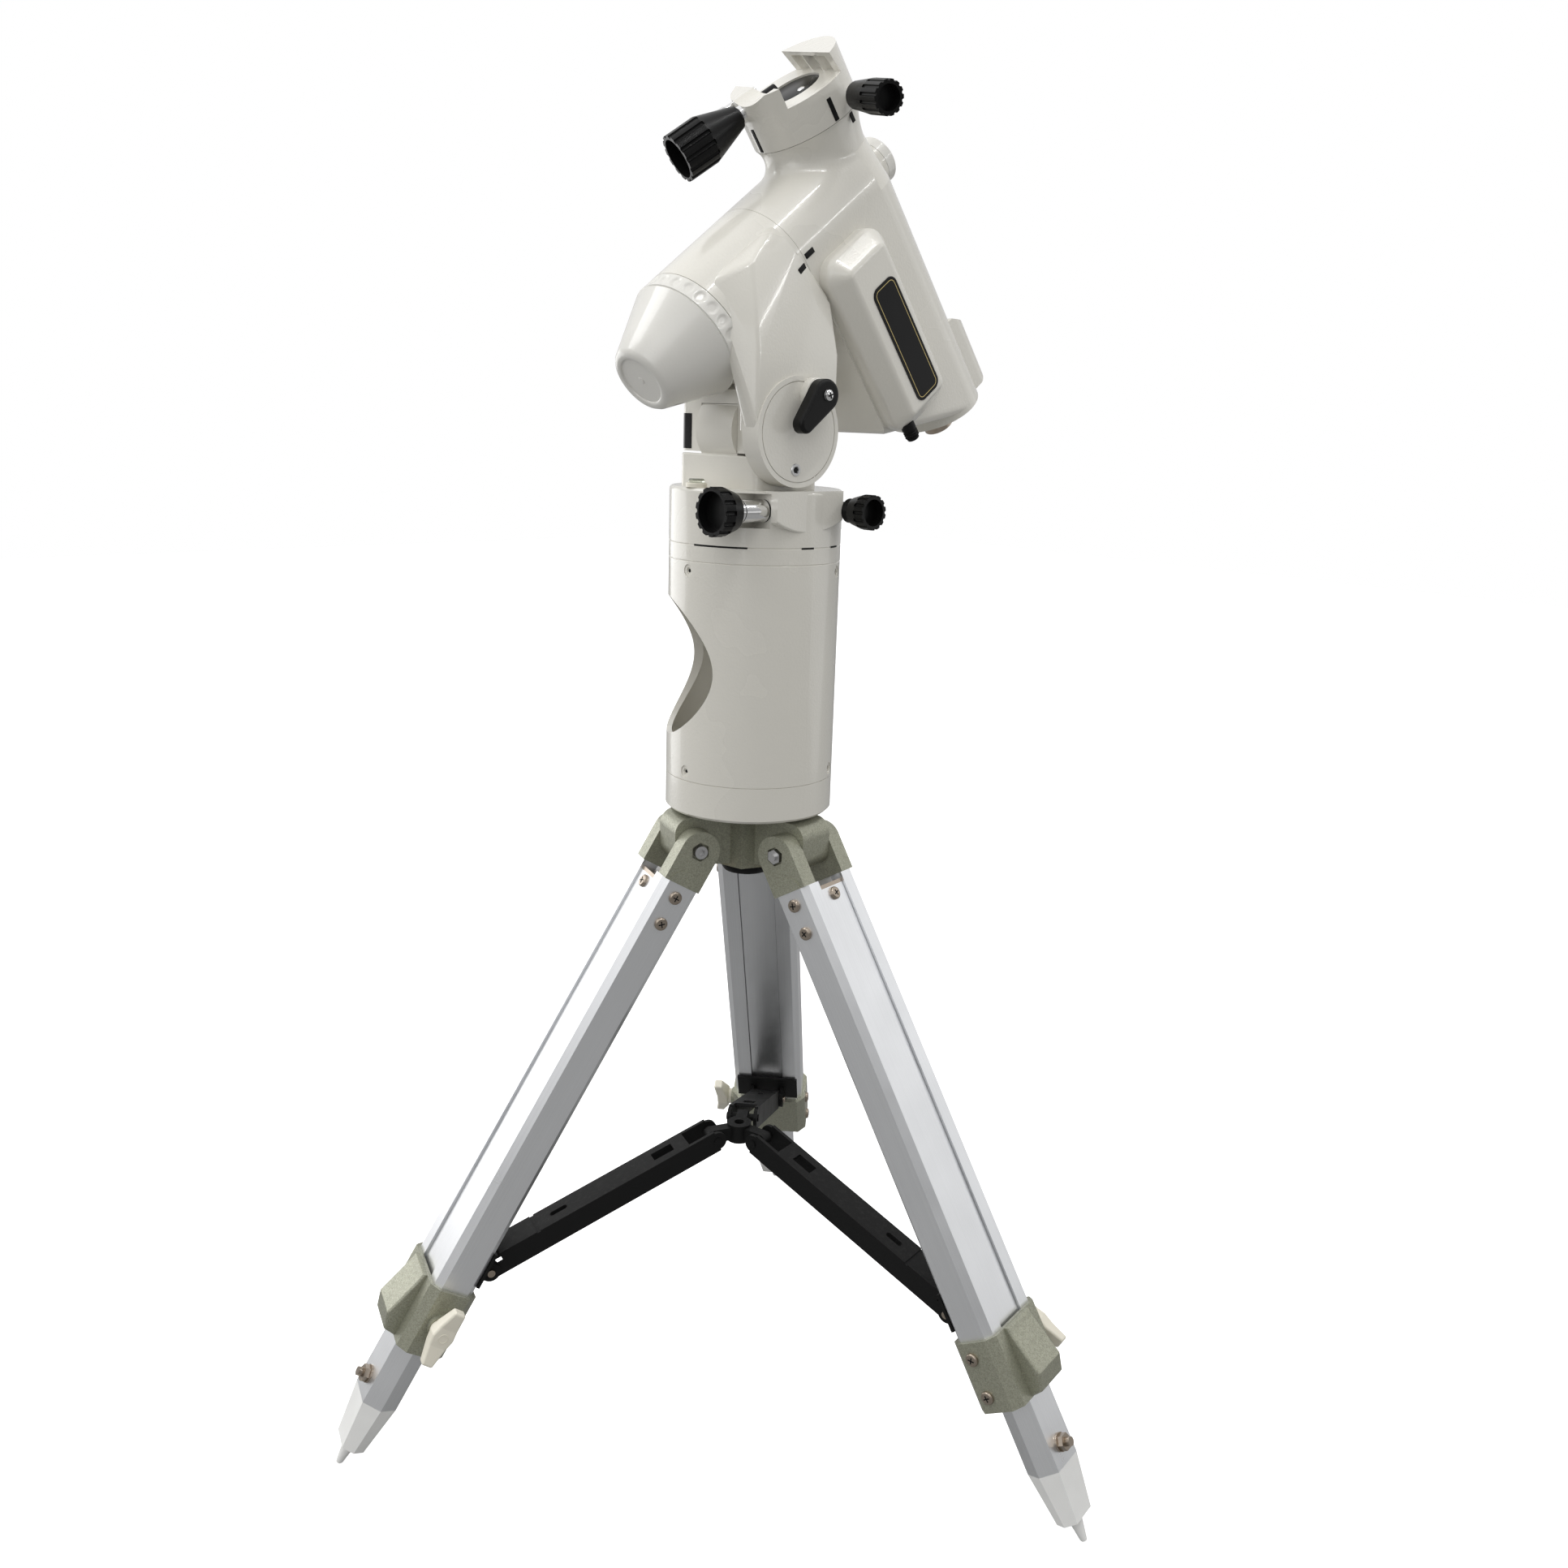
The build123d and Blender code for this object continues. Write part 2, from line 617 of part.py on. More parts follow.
def wing_knob(turn):
    """Clamp knob with two tapered wings on a threaded stem, turned by an angle in degrees."""
    plane = wing_plane()
    body = rod(plane, WING_HUB_RADIUS, COLLAR_BOSS + GAP, WING_HUB)
    body += rod(plane, WING_STEM, -COLLAR_WALL, WING_ROOT)
    half = WING_SPAN / 2
    right = [(WING_HUB_RADIUS, WING_ROOT), (half, WING_LOW), (half, WING_HIGH), (WING_HUB_RADIUS, WING_DIP)]
    wing = right + [(-x, y) for x, y in reversed(right)]
    across = Vector(0, sin(radians(turn)), cos(radians(turn)))
    sheet = Plane(origin=plane.origin, x_dir=across, z_dir=across.cross(plane.z_dir))
    blade = prism(sheet, wing, -WING_MIDDLE, WING_MIDDLE)
    face = Plane(origin=plane.origin, x_dir=across, z_dir=plane.z_dir)
    taper = [(half, WING_HALF), (0, WING_MIDDLE), (-half, WING_HALF),
             (-half, -WING_HALF), (0, -WING_MIDDLE), (half, -WING_HALF)]
    blade &= prism(face, taper, 0, WING_HIGH + BITE)
    return body + fillet(blade.edges(), WING_ROUND)


def bracket():
    """Plate under the rails with two lugs that carry the spreader arm's pin."""
    back = -RAIL_HALF_DEPTH
    body = block(ground, (-BRACKET_HALF, BRACKET_HALF), (back - BRACKET_PLATE, back),
                 (PIN_AT - BRACKET_RISE, PIN_AT + BRACKET_FALL))
    inner = ARM_HALF_WIDTH + GAP
    for side in SIDES:
        width = sorted((side * inner, side * (inner + BRACKET_LUG)))
        body += block(ground, width, (PIN_OUT, back - BITE), (PIN_AT - ARM_END_RADIUS, PIN_AT + ARM_END_RADIUS))
        lug = Plane(origin=(0, PIN_OUT, PIN_AT), x_dir=(0, 1, 0), z_dir=(side, 0, 0))
        body += rod(lug, ARM_END_RADIUS, inner, inner + BRACKET_LUG)
        body -= rod(lug, PIN_RADIUS + RUNNING, 0, BRACKET_HALF)
    return body


def leg_fasteners():
    """Rail and collar screws and the spreader pin of one leg."""
    pieces = []
    for side in SIDES:
        pieces += [pan_screw(spot) for spot in screw_spots(side)]
    pieces += [pan_screw(spot) for spot in collar_spots()]
    reach = ARM_HALF_WIDTH + GAP + BRACKET_LUG + PIN_HEAD
    pin = Plane(origin=(0, PIN_OUT, PIN_AT), x_dir=(0, 1, 0), z_dir=(1, 0, 0))
    pieces.append(rod(pin, PIN_RADIUS, -reach, reach))
    return group(pieces)


# Spreader arm: its ends in the vertical plane of the leg
spread = radians(LEG_SPREAD)
ARM_OUTER_R = LEG_PIVOT_R + PIN_AT * sin(spread) + PIN_OUT * cos(spread)
ARM_OUTER_Z = LEG_PIVOT_Z - PIN_AT * cos(spread) + PIN_OUT * sin(spread)
ARM_LENGTH = hypot(ARM_OUTER_R - HUB_PIN_R, HUB_PIN_Z - ARM_OUTER_Z)
ARM_RISE = atan2(HUB_PIN_Z - ARM_OUTER_Z, ARM_OUTER_R - HUB_PIN_R)


def arm_plane(azimuth):
    """Arm frame: x from the outer pin to the hub pin, z on its upper side."""
    a = radians(azimuth)
    spot = (ARM_OUTER_R * cos(a), ARM_OUTER_R * sin(a), ARM_OUTER_Z)
    along = (-cos(ARM_RISE) * cos(a), -cos(ARM_RISE) * sin(a), sin(ARM_RISE))
    upper = (sin(ARM_RISE) * cos(a), sin(ARM_RISE) * sin(a), cos(ARM_RISE))
    return Plane(origin=spot, x_dir=along, z_dir=upper)


def arm():
    """Channel arm, open below, with a window, a slot and rivets at its inner end."""
    half = ARM_HEIGHT / 2
    body = block(ground, (0, ARM_LENGTH), (-ARM_HALF_WIDTH, ARM_HALF_WIDTH), (-half, half))
    inner = ARM_HALF_WIDTH - ARM_WALL
    beyond = ARM_HALF_WIDTH * 2
    window = (ARM_LENGTH - ARM_WINDOW[0], ARM_LENGTH - ARM_WINDOW[1])
    body -= block(ground, (-beyond, ARM_LENGTH + beyond), (-inner, inner), (-half - BITE, half - ARM_WALL))
    body -= block(ground, (ARM_LENGTH - ARM_FORK, ARM_LENGTH + beyond), (-inner, inner), (-half, half + BITE))
    body -= block(ground, (-beyond, ARM_SLOPE), (-beyond, beyond), (BITE, half + BITE))
    body -= block(ground, ARM_GROOVE, (-beyond, beyond), (half - BITE, half + BITE))
    slot = SlotOverall(ARM_SLOT, ARM_SLOT / 3)
    body -= extrude(Pos(ARM_SLOT_AT, 0, 0) * slot, half + BITE)
    body -= block(ground, window, (-ARM_WINDOW_HALF, ARM_WINDOW_HALF), (0, half + BITE))
    across = Plane(origin=(0, 0, 0), x_dir=(1, 0, 0), z_dir=(0, 1, 0))
    for side in SIDES:
        low, high = sorted((side * inner, side * ARM_HALF_WIDTH))
        for spot in (0, ARM_LENGTH):
            body += Pos(spot, 0, 0) * rod(across, ARM_END_RADIUS, low, high)
    for side in SIDES:
        low, high = sorted((side * (HUB_LUG_HALF + GAP), side * (ARM_HALF_WIDTH + RIVET_HEAD)))
        body += Pos(ARM_LENGTH, 0, 0) * rod(across, PIN_RADIUS, low, high)
    return body - rod(across, PIN_RADIUS + RUNNING, -beyond, beyond)


def spreader_hub():
    """Y-shaped centre of the spreader with a tray hole."""
    low, high = HUB_PIN_Z - HUB_LUG_HEIGHT / 2, HUB_PIN_Z + HUB_LUG_HEIGHT / 2
    body = rod(ground, HUB_BOSS, low - HUB_STEP, high + HUB_STEP)
    for azimuth in LEG_AZIMUTHS:
        lug = block(ground, (0, HUB_PIN_R + BITE), (-HUB_LUG_HALF, HUB_LUG_HALF), (low, high))
        tip = Plane(origin=(HUB_PIN_R + BITE, 0, HUB_PIN_Z), x_dir=(1, 0, 0), z_dir=(0, 1, 0))
        lug += rod(tip, HUB_LUG_HEIGHT / 2, -HUB_LUG_HALF, HUB_LUG_HALF)
        body += Rot(0, 0, azimuth) * lug
    body -= rod(ground, HUB_HOLE, low - OVERCUT, high + OVERCUT)
    return body


def tripod_head():
    """Cast head: a column with three knuckles between the leg ears and a flat top disc."""
    column = Pos(0, 0, HEAD_BOTTOM) * extrude(
        Rot(0, 0, LEG_AZIMUTHS[0]) * RegularPolygon(HEAD_COLUMN, 6), HEAD_TOP - HEAD_BOTTOM)
    body = column + rod(ground, HEAD_RADIUS, HEAD_TOP - HEAD_DISC, HEAD_TOP)
    half = EAR_INNER - GAP
    top = HEAD_TOP - HEAD_DISC - KNUCKLE_STEP
    for azimuth in LEG_AZIMUTHS:
        arm_block = block(ground, (0, KNUCKLE_REACH), (-half, half), (HEAD_BOTTOM + KNUCKLE_FOOT, top))
        ends = arm_block.edges().filter_by(Axis.Y).group_by(Axis.X)[-1]
        arm_block = fillet(ends, KNUCKLE_ROUND)
        body += Rot(0, 0, azimuth) * arm_block
    for azimuth in LEG_AZIMUTHS:
        bolt = leg_plane(azimuth) * Plane(origin=(0, 0, 0), x_dir=(0, 1, 0), z_dir=(1, 0, 0))
        body -= rod(bolt, PIVOT_BOLT + RUNNING, -EAR_INNER - OVERCUT, EAR_INNER + OVERCUT)
    body -= rod(ground, AXLE_RADIUS, HEAD_BOTTOM - OVERCUT, HEAD_TOP + OVERCUT)
    return body


def pivot_bolt():
    """Leg pivot bolt with a socket head on one side and a nut on the other."""
    across = Plane(origin=(0, 0, 0), x_dir=(0, 1, 0), z_dir=(1, 0, 0))
    seat = LEG_HALF_WIDTH - BOLT_HEAD_DEPTH
    body = rod(across, PIVOT_BOLT, -seat - BOLT_TAIL, seat)
    body += rod(across, BOLT_HEAD, seat, seat + BOLT_CAP)
    body -= hexagon(across, BOLT_HEAD, seat + BOLT_CAP / 2, seat + BOLT_CAP + BITE)
    body += hexagon(across, NUT_FLATS, -seat - NUT_HEIGHT, -seat)
    return body


def pillar_screw(plane):
    """Socket screw sunk in the pillar's wall and a spigot behind it."""
    body = rod(plane, PILLAR_SCREW_HEAD, -PILLAR_SCREW_DEPTH, -PILLAR_SCREW_SUNK)
    body -= hexagon(plane, PILLAR_SCREW_HEAD, PILLAR_SCREW_SUNK - PILLAR_SCREW_DEPTH, 0)
    return body + rod(plane, PAN_STEM, -PILLAR_WALL - PAN_HEIGHT, -PILLAR_SCREW_DEPTH)


def pillar_screw_planes():
    """Planes of the pillar screws on the tube's surface."""
    heights = (LOWER_SEAM + PILLAR_SCREW_INSET, UPPER_SEAM - PILLAR_SCREW_INSET)
    return [compass(a, z, PILLAR_RADIUS) for z in heights for a in PILLAR_SCREW_AZIMUTHS]


def screw_bore(shape):
    """Cut the pillar screws' holes."""
    for plane in pillar_screw_planes():
        shape -= rod(plane, PILLAR_SCREW_HEAD + RUNNING, -PILLAR_SCREW_DEPTH - RUNNING, OVERCUT)
        shape -= rod(plane, PAN_STEM + RUNNING, -PILLAR_WALL - PAN_HEIGHT - RUNNING, 0)
    return shape


def pillar_tube():
    """Tube with one large round opening in its side."""
    body = rod(ground, PILLAR_RADIUS, LOWER_SEAM, UPPER_SEAM)
    body = chamfer(body.edges().filter_by(GeomType.CIRCLE), SEAM_CHAMFER)
    body -= rod(ground, PILLAR_RADIUS - PILLAR_WALL, LOWER_SEAM - BITE, UPPER_SEAM + BITE)
    body -= rod(compass(OPENING_AZIMUTH, OPENING_Z), OPENING_RADIUS, 0, PILLAR_RADIUS + OVERCUT)
    return screw_bore(body)


def pillar_top_flange():
    """Top plate of the pillar, with a spigot in the tube and the hole for the azimuth axle."""
    spigot = PILLAR_RADIUS - PILLAR_WALL - RUNNING
    body = rod(ground, PILLAR_RADIUS, UPPER_SEAM, PILLAR_TOP)
    body = chamfer(body.edges().filter_by(GeomType.CIRCLE), SEAM_CHAMFER)
    body += rod(ground, spigot, UPPER_SEAM - SPIGOT, UPPER_SEAM)
    body -= rod(ground, spigot - SPIGOT_WALL, UPPER_SEAM - SPIGOT - BITE, UPPER_SEAM)
    body -= rod(ground, AXLE_RADIUS + RUNNING, UPPER_SEAM - OVERCUT, PILLAR_TOP + OVERCUT)
    return screw_bore(body)


def pillar_bottom_flange():
    """Foot of the pillar, screwed to the tripod head."""
    spigot = PILLAR_RADIUS - PILLAR_WALL - RUNNING
    body = rod(ground, PILLAR_RADIUS, PILLAR_BOTTOM, LOWER_SEAM)
    body = chamfer(body.faces().sort_by(Axis.Z)[0].edges(), FLANGE_CHAMFER)
    body += rod(ground, spigot, LOWER_SEAM, LOWER_SEAM + SPIGOT)
    body -= rod(ground, spigot - SPIGOT_WALL, PILLAR_BOTTOM + FLANGE_PLATE, LOWER_SEAM + SPIGOT + BITE)
    body -= rod(ground, AXLE_RADIUS, PILLAR_BOTTOM - OVERCUT, LOWER_SEAM)
    return screw_bore(body)


def azimuth_axle():
    """Centre bolt that the base turns on, its head under the top flange."""
    body = rod(ground, AXLE_RADIUS, UPPER_SEAM, AXLE_TOP)
    return body + hexagon(ground, AXLE_HEAD * 2, UPPER_SEAM - AXLE_HEAD_HEIGHT, UPPER_SEAM)


def south_plane(x):
    """Plane whose normal points south, through the azimuth axis."""
    return Plane(origin=(x, 0, ADJUSTER_Z), x_dir=(1, 0, 0), z_dir=(0, -1, 0))


def side_knob_plane(side):
    """Plane of an azimuth knob, its normal pointing east or west."""
    return Plane(origin=(0, AZ_KNOB_Y, ADJUSTER_Z), x_dir=(0, side, 0), z_dir=(side, 0, 0))


def fork_plan(front, back, low, high):
    """Upright block as wide as the fork, with rounded corners."""
    plan = Pos(0, (front + back) / 2, low) * RectangleRounded(FORK_HALF * 2, back - front, COLUMN_ROUND)
    return extrude(plan, high - low)


def azimuth_base():
    """Round base with the block that carries the altitude pivot."""
    body = rod(ground, PILLAR_RADIUS, PILLAR_TOP, BASE_SHELF)
    body = chamfer(body.faces().sort_by(Axis.Z)[0].edges(), SEAM_CHAMFER)
    body = fillet(body.faces().sort_by(Axis.Z)[-1].edges(), SHELF_ROUND)
    ear_side = Plane(origin=(0, -SHIELD_DROP, ALT_Z - SHIELD_DROP), x_dir=(0, 1, 0), z_dir=(1, 0, 0))
    shield = rod(ear_side, SHIELD_RADIUS, 0, SHIELD_FACE)
    shield &= block(ground, (0, SHIELD_FACE), SHIELD_Y, (SHIELD_BOTTOM, BASE_SHELF))
    body += fillet(shield.edges().filter_by(GeomType.CIRCLE), SHELF_ROUND / 2)
    raised = fork_plan(FORK_FRONT - BASE_LIP, BASE_BACK, BASE_SHELF - SHELF_ROUND, BASE_SHELF + BLOCK_HEIGHT)
    body += fillet(raised.faces().sort_by(Axis.Z)[-1].edges(), SHELF_ROUND / 2)
    for side in SIDES:
        low, high = sorted((side * TONGUE_HALF, side * (FORK_HALF + OVERCUT)))
        body -= rod(alt_axis, FORK_RADIUS + GAP, low, high)
    body -= rod(alt_axis, EAR_DRUM + GAP, FORK_HALF - GAP, SHIELD_FACE + OVERCUT)
    width = (-TONGUE_HALF, TONGUE_HALF)
    front = FORK_FRONT + TONGUE_INSET
    body += rod(alt_axis, TONGUE_RADIUS, -TONGUE_HALF, TONGUE_HALF)
    body += block(ground, width, (front, ALT_Y + TONGUE_BACK), (BASE_SHELF, ALT_Z))
    body += block(ground, width, (front, ALT_Y), (ALT_Z - BITE, TONGUE_TOP))
    body -= rod(alt_axis, ALT_PIN_RADIUS + RUNNING, -FORK_HALF, FORK_HALF)
    body -= rod(ground, AXLE_RADIUS + RUNNING, PILLAR_TOP - OVERCUT, AXLE_TOP + BITE)
    notch = (ALT_KNOB_X - NOTCH_HALF, ALT_KNOB_X + NOTCH_HALF)
    body -= block(ground, notch, (-PILLAR_RADIUS - OVERCUT, NOTCH_BACK),
                  (ADJUSTER_Z - NOTCH_HALF_HEIGHT, ADJUSTER_Z + NOTCH_HALF_HEIGHT))
    body -= rod(south_plane(ALT_KNOB_X), ALT_SHAFT_RADIUS + RUNNING, 0, PILLAR_RADIUS)
    for side in SIDES:
        body -= rod(side_knob_plane(side), AZ_STEM_RADIUS + RUNNING, AZ_STEM_ROOT - BITE,
                    PILLAR_RADIUS + OVERCUT)
    return body


def altitude_knob():
    """Fluted knob on the steel shaft of the altitude adjuster."""
    plane = south_plane(ALT_KNOB_X)
    body = rod(plane, ALT_SHAFT_RADIUS, BITE, ALT_KNOB_START)
    return body + knob(plane, ALT_KNOB_RADIUS * KNOB_WAIST, ALT_KNOB_RADIUS, ALT_KNOB_START, ALT_KNOB_END,
                       KNOB_CUP)


def azimuth_knob(side):
    """Fluted knob with a flared stem that pushes the base sideways."""
    plane = side_knob_plane(side)
    body = rod(plane, AZ_STEM_RADIUS, AZ_STEM_ROOT, AZ_KNOB_START)
    body += cone(plane, AZ_FLARE, AZ_STEM_RADIUS + BITE, SHIELD_FACE + GAP, AZ_KNOB_START)
    return body + knob(plane, AZ_KNOB_RADIUS * KNOB_WAIST, AZ_KNOB_RADIUS, AZ_KNOB_START, AZ_KNOB_END,
                       KNOB_CUP)


def bubble_level():
    """Round bubble level on the base's front shelf."""
    plane = Plane(origin=(0, LEVEL_Y, BASE_SHELF))
    body = rod(plane, LEVEL_RADIUS, 0, LEVEL_HEIGHT)
    return fillet(body.faces().sort_by(Axis.Z)[-1].edges(), LEVEL_ROUND)


def column():
    """Block between the polar barrel and the altitude pivot, with a cheek above the east ear."""
    body = fork_plan(FORK_FRONT, ALT_Y - FORK_FRONT + ALT_Y, ALT_Z - FORK_FOOT, ALT_Z)
    body &= rod(alt_axis, FORK_RADIUS, -FORK_HALF, FORK_HALF)
    body += fork_plan(FORK_FRONT, COLUMN_BACK, ALT_Z, CROSS_POINT.Z)
    depth = COLUMN_BACK - CHEEK_FRONT
    levels = ((ALT_Z, CHEEK_FACE), (CHEEK_TOP, CHEEK_FACE), (CHEEK_TOP + CHEEK_FADE, FORK_HALF))
    slices = []
    for z, face in levels:
        spot = Pos((CHEEK_INNER + face) / 2, (CHEEK_FRONT + COLUMN_BACK) / 2, z)
        slices.append(spot * RectangleRounded(face - CHEEK_INNER, depth, CHEEK_ROUND))
    body += loft(slices, ruled=True)
    reach = BARREL_RADIUS * 3
    beyond = (-reach, reach)
    body -= block(ra_axis, beyond, beyond, (RA_SEAM, reach))
    body -= block(ra_axis, beyond, (-reach, 0), (CAP_SEAM, reach))
    return body - block(ra_axis, beyond, (-reach, BARREL_RADIUS + BITE), (CAP_SEAM - reach, CAP_SEAM))


def ra_housing():
    """Barrel of the polar axis with the fork and the ear of the altitude pivot."""
    body = rod(ra_axis, BARREL_RADIUS, CAP_SEAM, RA_SEAM)
    body += column()
    body -= rod(ra_axis, BARREL_RADIUS + BITE, CAP_END, CAP_SEAM)
    body += rod(alt_axis, EAR_DRUM, FORK_HALF, EAR_FACE)
    ring = (EAR_FACE - BITE, EAR_FACE + BITE)
    body -= rod(alt_axis, EAR_DISC + EAR_GROOVE, *ring) - rod(alt_axis, EAR_DISC, *ring)
    inner = TONGUE_HALF + GAP
    front = FORK_FRONT + TONGUE_INSET
    slot = hypot(ALT_Y - front, TONGUE_RISE) + SLIDING
    body -= rod(alt_axis, slot, -inner, inner)
    body -= block(ground, (-inner, inner), (FORK_FRONT - OVERCUT, ALT_Y),
                  (ALT_Z - EAR_DRUM, TONGUE_TOP + SLIDING))
    body -= rod(alt_axis, ALT_PIN_RADIUS + RUNNING, ALT_PIN_INSET - FORK_HALF, EAR_FACE - ALT_PIN_INSET)
    body -= rod(ra_axis, RA_SHAFT_RADIUS + RUNNING, CAP_SEAM - OVERCUT, RA_SEAM + OVERCUT)
    body -= rod(ra_axis, RA_WHEEL_RADIUS + WHEEL_ROOM, RA_SEAM - RA_WHEEL_WIDTH * 2, RA_SEAM + OVERCUT)
    body -= rod(ra_axis, SCOPE_RADIUS, CAP_SEAM - OVERCUT, CAP_SEAM + SCOPE_DEPTH)
    body -= rod(lever_plane(), LEVER_STEM + RUNNING, -LEVER_BOSS - BITE, LEVER_BOSS)
    return body


def altitude_shaft():
    """Pivot pin through the fork and the base's tongue."""
    low, high = ALT_PIN_INSET - FORK_HALF + SLIDING, EAR_FACE - ALT_PIN_INSET - SLIDING
    return rod(alt_axis, ALT_PIN_RADIUS, low, high)


def lever_plane():
    """Plane of the altitude clamp lever on the east ear."""
    return Plane(origin=(EAR_FACE, LEVER_Y, LEVER_Z), x_dir=(0, 1, 0), z_dir=(1, 0, 0))


def altitude_lever():
    """Teardrop clamp lever on a round boss, with its screw."""
    plane = lever_plane()
    body = rod(plane, LEVER_NECK, GAP, LEVER_SEAT) + rod(plane, LEVER_STEM, -LEVER_BOSS, BITE)
    hub_face = Pos(0, 0, LEVER_SEAT) * Circle(LEVER_BOSS)
    end_face = Pos(*LEVER_END, LEVER_SEAT) * Circle(LEVER_TIP)
    blade = make_hull(hub_face.edges() + end_face.edges())
    grip = extrude(blade, LEVER_THICK)
    grip = fillet(grip.faces().sort_by(Axis.Z)[-1].edges(), LEVER_ROUND)
    body += plane * grip
    top = LEVER_SEAT + LEVER_THICK
    return body + rod(plane, LEVER_SCREW, top, top + LEVER_SCREW_HEIGHT)


def polar_scope_cap():
    """Pull-off conical cap over the polar scope, with a dimpled grip band."""
    band_end = CAP_SEAM - CAP_BAND
    outside = rod(ra_axis, BARREL_RADIUS, band_end, CAP_SEAM - GAP)
    outside += cone(ra_axis, CAP_END_RADIUS, BARREL_RADIUS, CAP_END, band_end)
    outside = fillet(outside.faces().sort_by(Axis(CROSS_POINT, POLAR))[0].edges(), CAP_ROUND)
    inner = rod(ra_axis, BARREL_RADIUS - CAP_WALL, band_end, CAP_SEAM + BITE)
    inner += cone(ra_axis, CAP_END_RADIUS - CAP_WALL, BARREL_RADIUS - CAP_WALL, CAP_END + CAP_WALL * 2,
                  band_end)
    body = outside - inner
    body -= rod(ra_axis, CAP_RECESS, CAP_END - BITE, CAP_END + CAP_RECESS_DEPTH)
    body += rod(ra_axis, CAP_DOT, CAP_END + CAP_DOT_DEPTH, CAP_END + CAP_WALL)
    mouth = CAP_SEAM - GAP
    plug = rod(ra_axis, BARREL_RADIUS - BITE, mouth - CAP_WALL, mouth)
    plug += rod(ra_axis, SCOPE_RADIUS - RUNNING, mouth - CAP_WALL, CAP_SEAM + SCOPE_DEPTH - BITE)
    plug -= rod(ra_axis, SCOPE_RADIUS - CAP_WALL, mouth - OVERCUT, CAP_SEAM + SCOPE_DEPTH)
    return body + plug


def toothed_wheel(plane, radius, width, bore, low):
    """Worm wheel with shallow teeth on its rim."""
    face = Circle(radius)
    tooth = pi * radius / WHEEL_TEETH
    for i in range(WHEEL_TEETH // 2):
        turn = 720 * i / WHEEL_TEETH
        face -= Rot(0, 0, turn) * Pos(radius, 0) * Rectangle(TOOTH_DEPTH * 2, tooth)
    body = plane * Pos(0, 0, low) * extrude(face, width)
    return body - rod(plane, bore, low - BITE, low + width + BITE)


def ra_shaft():
    """Hollow polar shaft fixed in the declination body."""
    body = rod(ra_axis, RA_SHAFT_RADIUS, CAP_SEAM + WHEEL_ROOM, RA_SHAFT_END)
    return body - rod(ra_axis, RA_SHAFT_BORE, CAP_SEAM, RA_SHAFT_END + BITE)


def ra_worm_wheel():
    """Worm wheel of the polar axis."""
    return toothed_wheel(ra_axis, RA_WHEEL_RADIUS, RA_WHEEL_WIDTH, RA_SHAFT_RADIUS + RUNNING,
                         RA_SEAM - RA_WHEEL_WIDTH - RA_WHEEL_INSET)


def dec_neck():
    """Waisted neck that widens from the body to the drum."""
    waist = [(TUBE_RADIUS, 0, -NECK_START), (TUBE_RADIUS, 0, NECK_FOOT), (NECK_WAIST, 0, NECK_MIDDLE),
             (DRUM_RADIUS, 0, DEC_SEAM)]
    inside = Polyline([waist[-1], (0, 0, DEC_SEAM), (0, 0, -NECK_START), waist[0]])
    return dec * revolve(make_face(Spline(waist) + inside), Axis.Z)


def dec_oval(grow, low, high):
    """Oval cylinder of the body's north side."""
    face = Pos(0, 0, low) * Ellipse(BODY_HALF + grow, TUBE_RADIUS + grow)
    return dec * extrude(face, high - low)


def dec_housing():
    """Casting that turns on the polar axis and carries the declination axis."""
    neck = dec_neck()
    body = rod(dec_ra, BARREL_RADIUS, RA_SEAM + GAP, DRUM_RADIUS * 2) + neck
    joint = edges_where(body, dec, lambda spot: NECK_START / 2 < spot.Z < DEC_SEAM - BITE)
    joint = [edge for edge in joint if edge.geom_type == GeomType.BSPLINE]
    body = fillet(joint, NECK_FILLET)
    reach = DRUM_RADIUS * 3
    body -= block(dec, (-reach, reach), (0, reach), (-reach, DEC_SEAM + BITE))
    south = RA_SEAM + GAP
    lower = [(south, 0), (south, BODY_KNEE), (BODY_FOOT_Y, BODY_BOTTOM), (0, BODY_BOTTOM), (0, 0)]
    slab = prism(dec_side(), lower, -BODY_HALF, BODY_HALF)
    rims = edges_where(slab, dec, lambda spot: spot.Z < BODY_KNEE + BITE and spot.Y < BODY_FOOT_Y - BITE)
    body += fillet(rims, BODY_ROUND)
    body += dec_oval(0, BODY_BOTTOM, 0)
    body += dec * loft([Ellipse(BODY_HALF, TUBE_RADIUS), Pos(0, 0, NECK_START) * Circle(TUBE_RADIUS)])
    body += neck
    body += rod(dec_ra, FRONT_BOSS, 0, FRONT_BOSS_END)
    body += rod(dec, BAR_SLEEVE, BODY_BOTTOM - SLEEVE_LENGTH, BODY_BOTTOM + BITE)
    body -= rod(dec_ra, RA_SHAFT_RADIUS + RUNNING, RA_SEAM - OVERCUT, RA_SHAFT_END + RUNNING)
    body -= rod(dec_ra, SIGHT_RADIUS, RA_SHAFT_END - BITE, FRONT_BOSS_END + OVERCUT)
    body -= rod(dec, DEC_SHAFT_RADIUS + RUNNING, BODY_BOTTOM + SHAFT_FOOT, DEC_SEAM + OVERCUT)
    body -= rod(dec, BAR_RADIUS + SLIDING, BODY_BOTTOM - SHAFT_FOOT, BODY_BOTTOM + SHAFT_FOOT + BITE)
    wheel_floor = DEC_SEAM - DEC_WHEEL_WIDTH - WHEEL_ROOM * 2
    body -= rod(dec, DEC_WHEEL_RADIUS + WHEEL_ROOM, wheel_floor, DEC_SEAM + OVERCUT)
    return body - prism(dec_side(), box_room(), -BODY_HALF + BODY_WALL, BODY_HALF + OVERCUT)


def dec_side():
    """Plane along the declination body's length, its normal pointing to the east cover."""
    return Plane(origin=dec.origin, x_dir=dec.y_dir, z_dir=dec.x_dir)


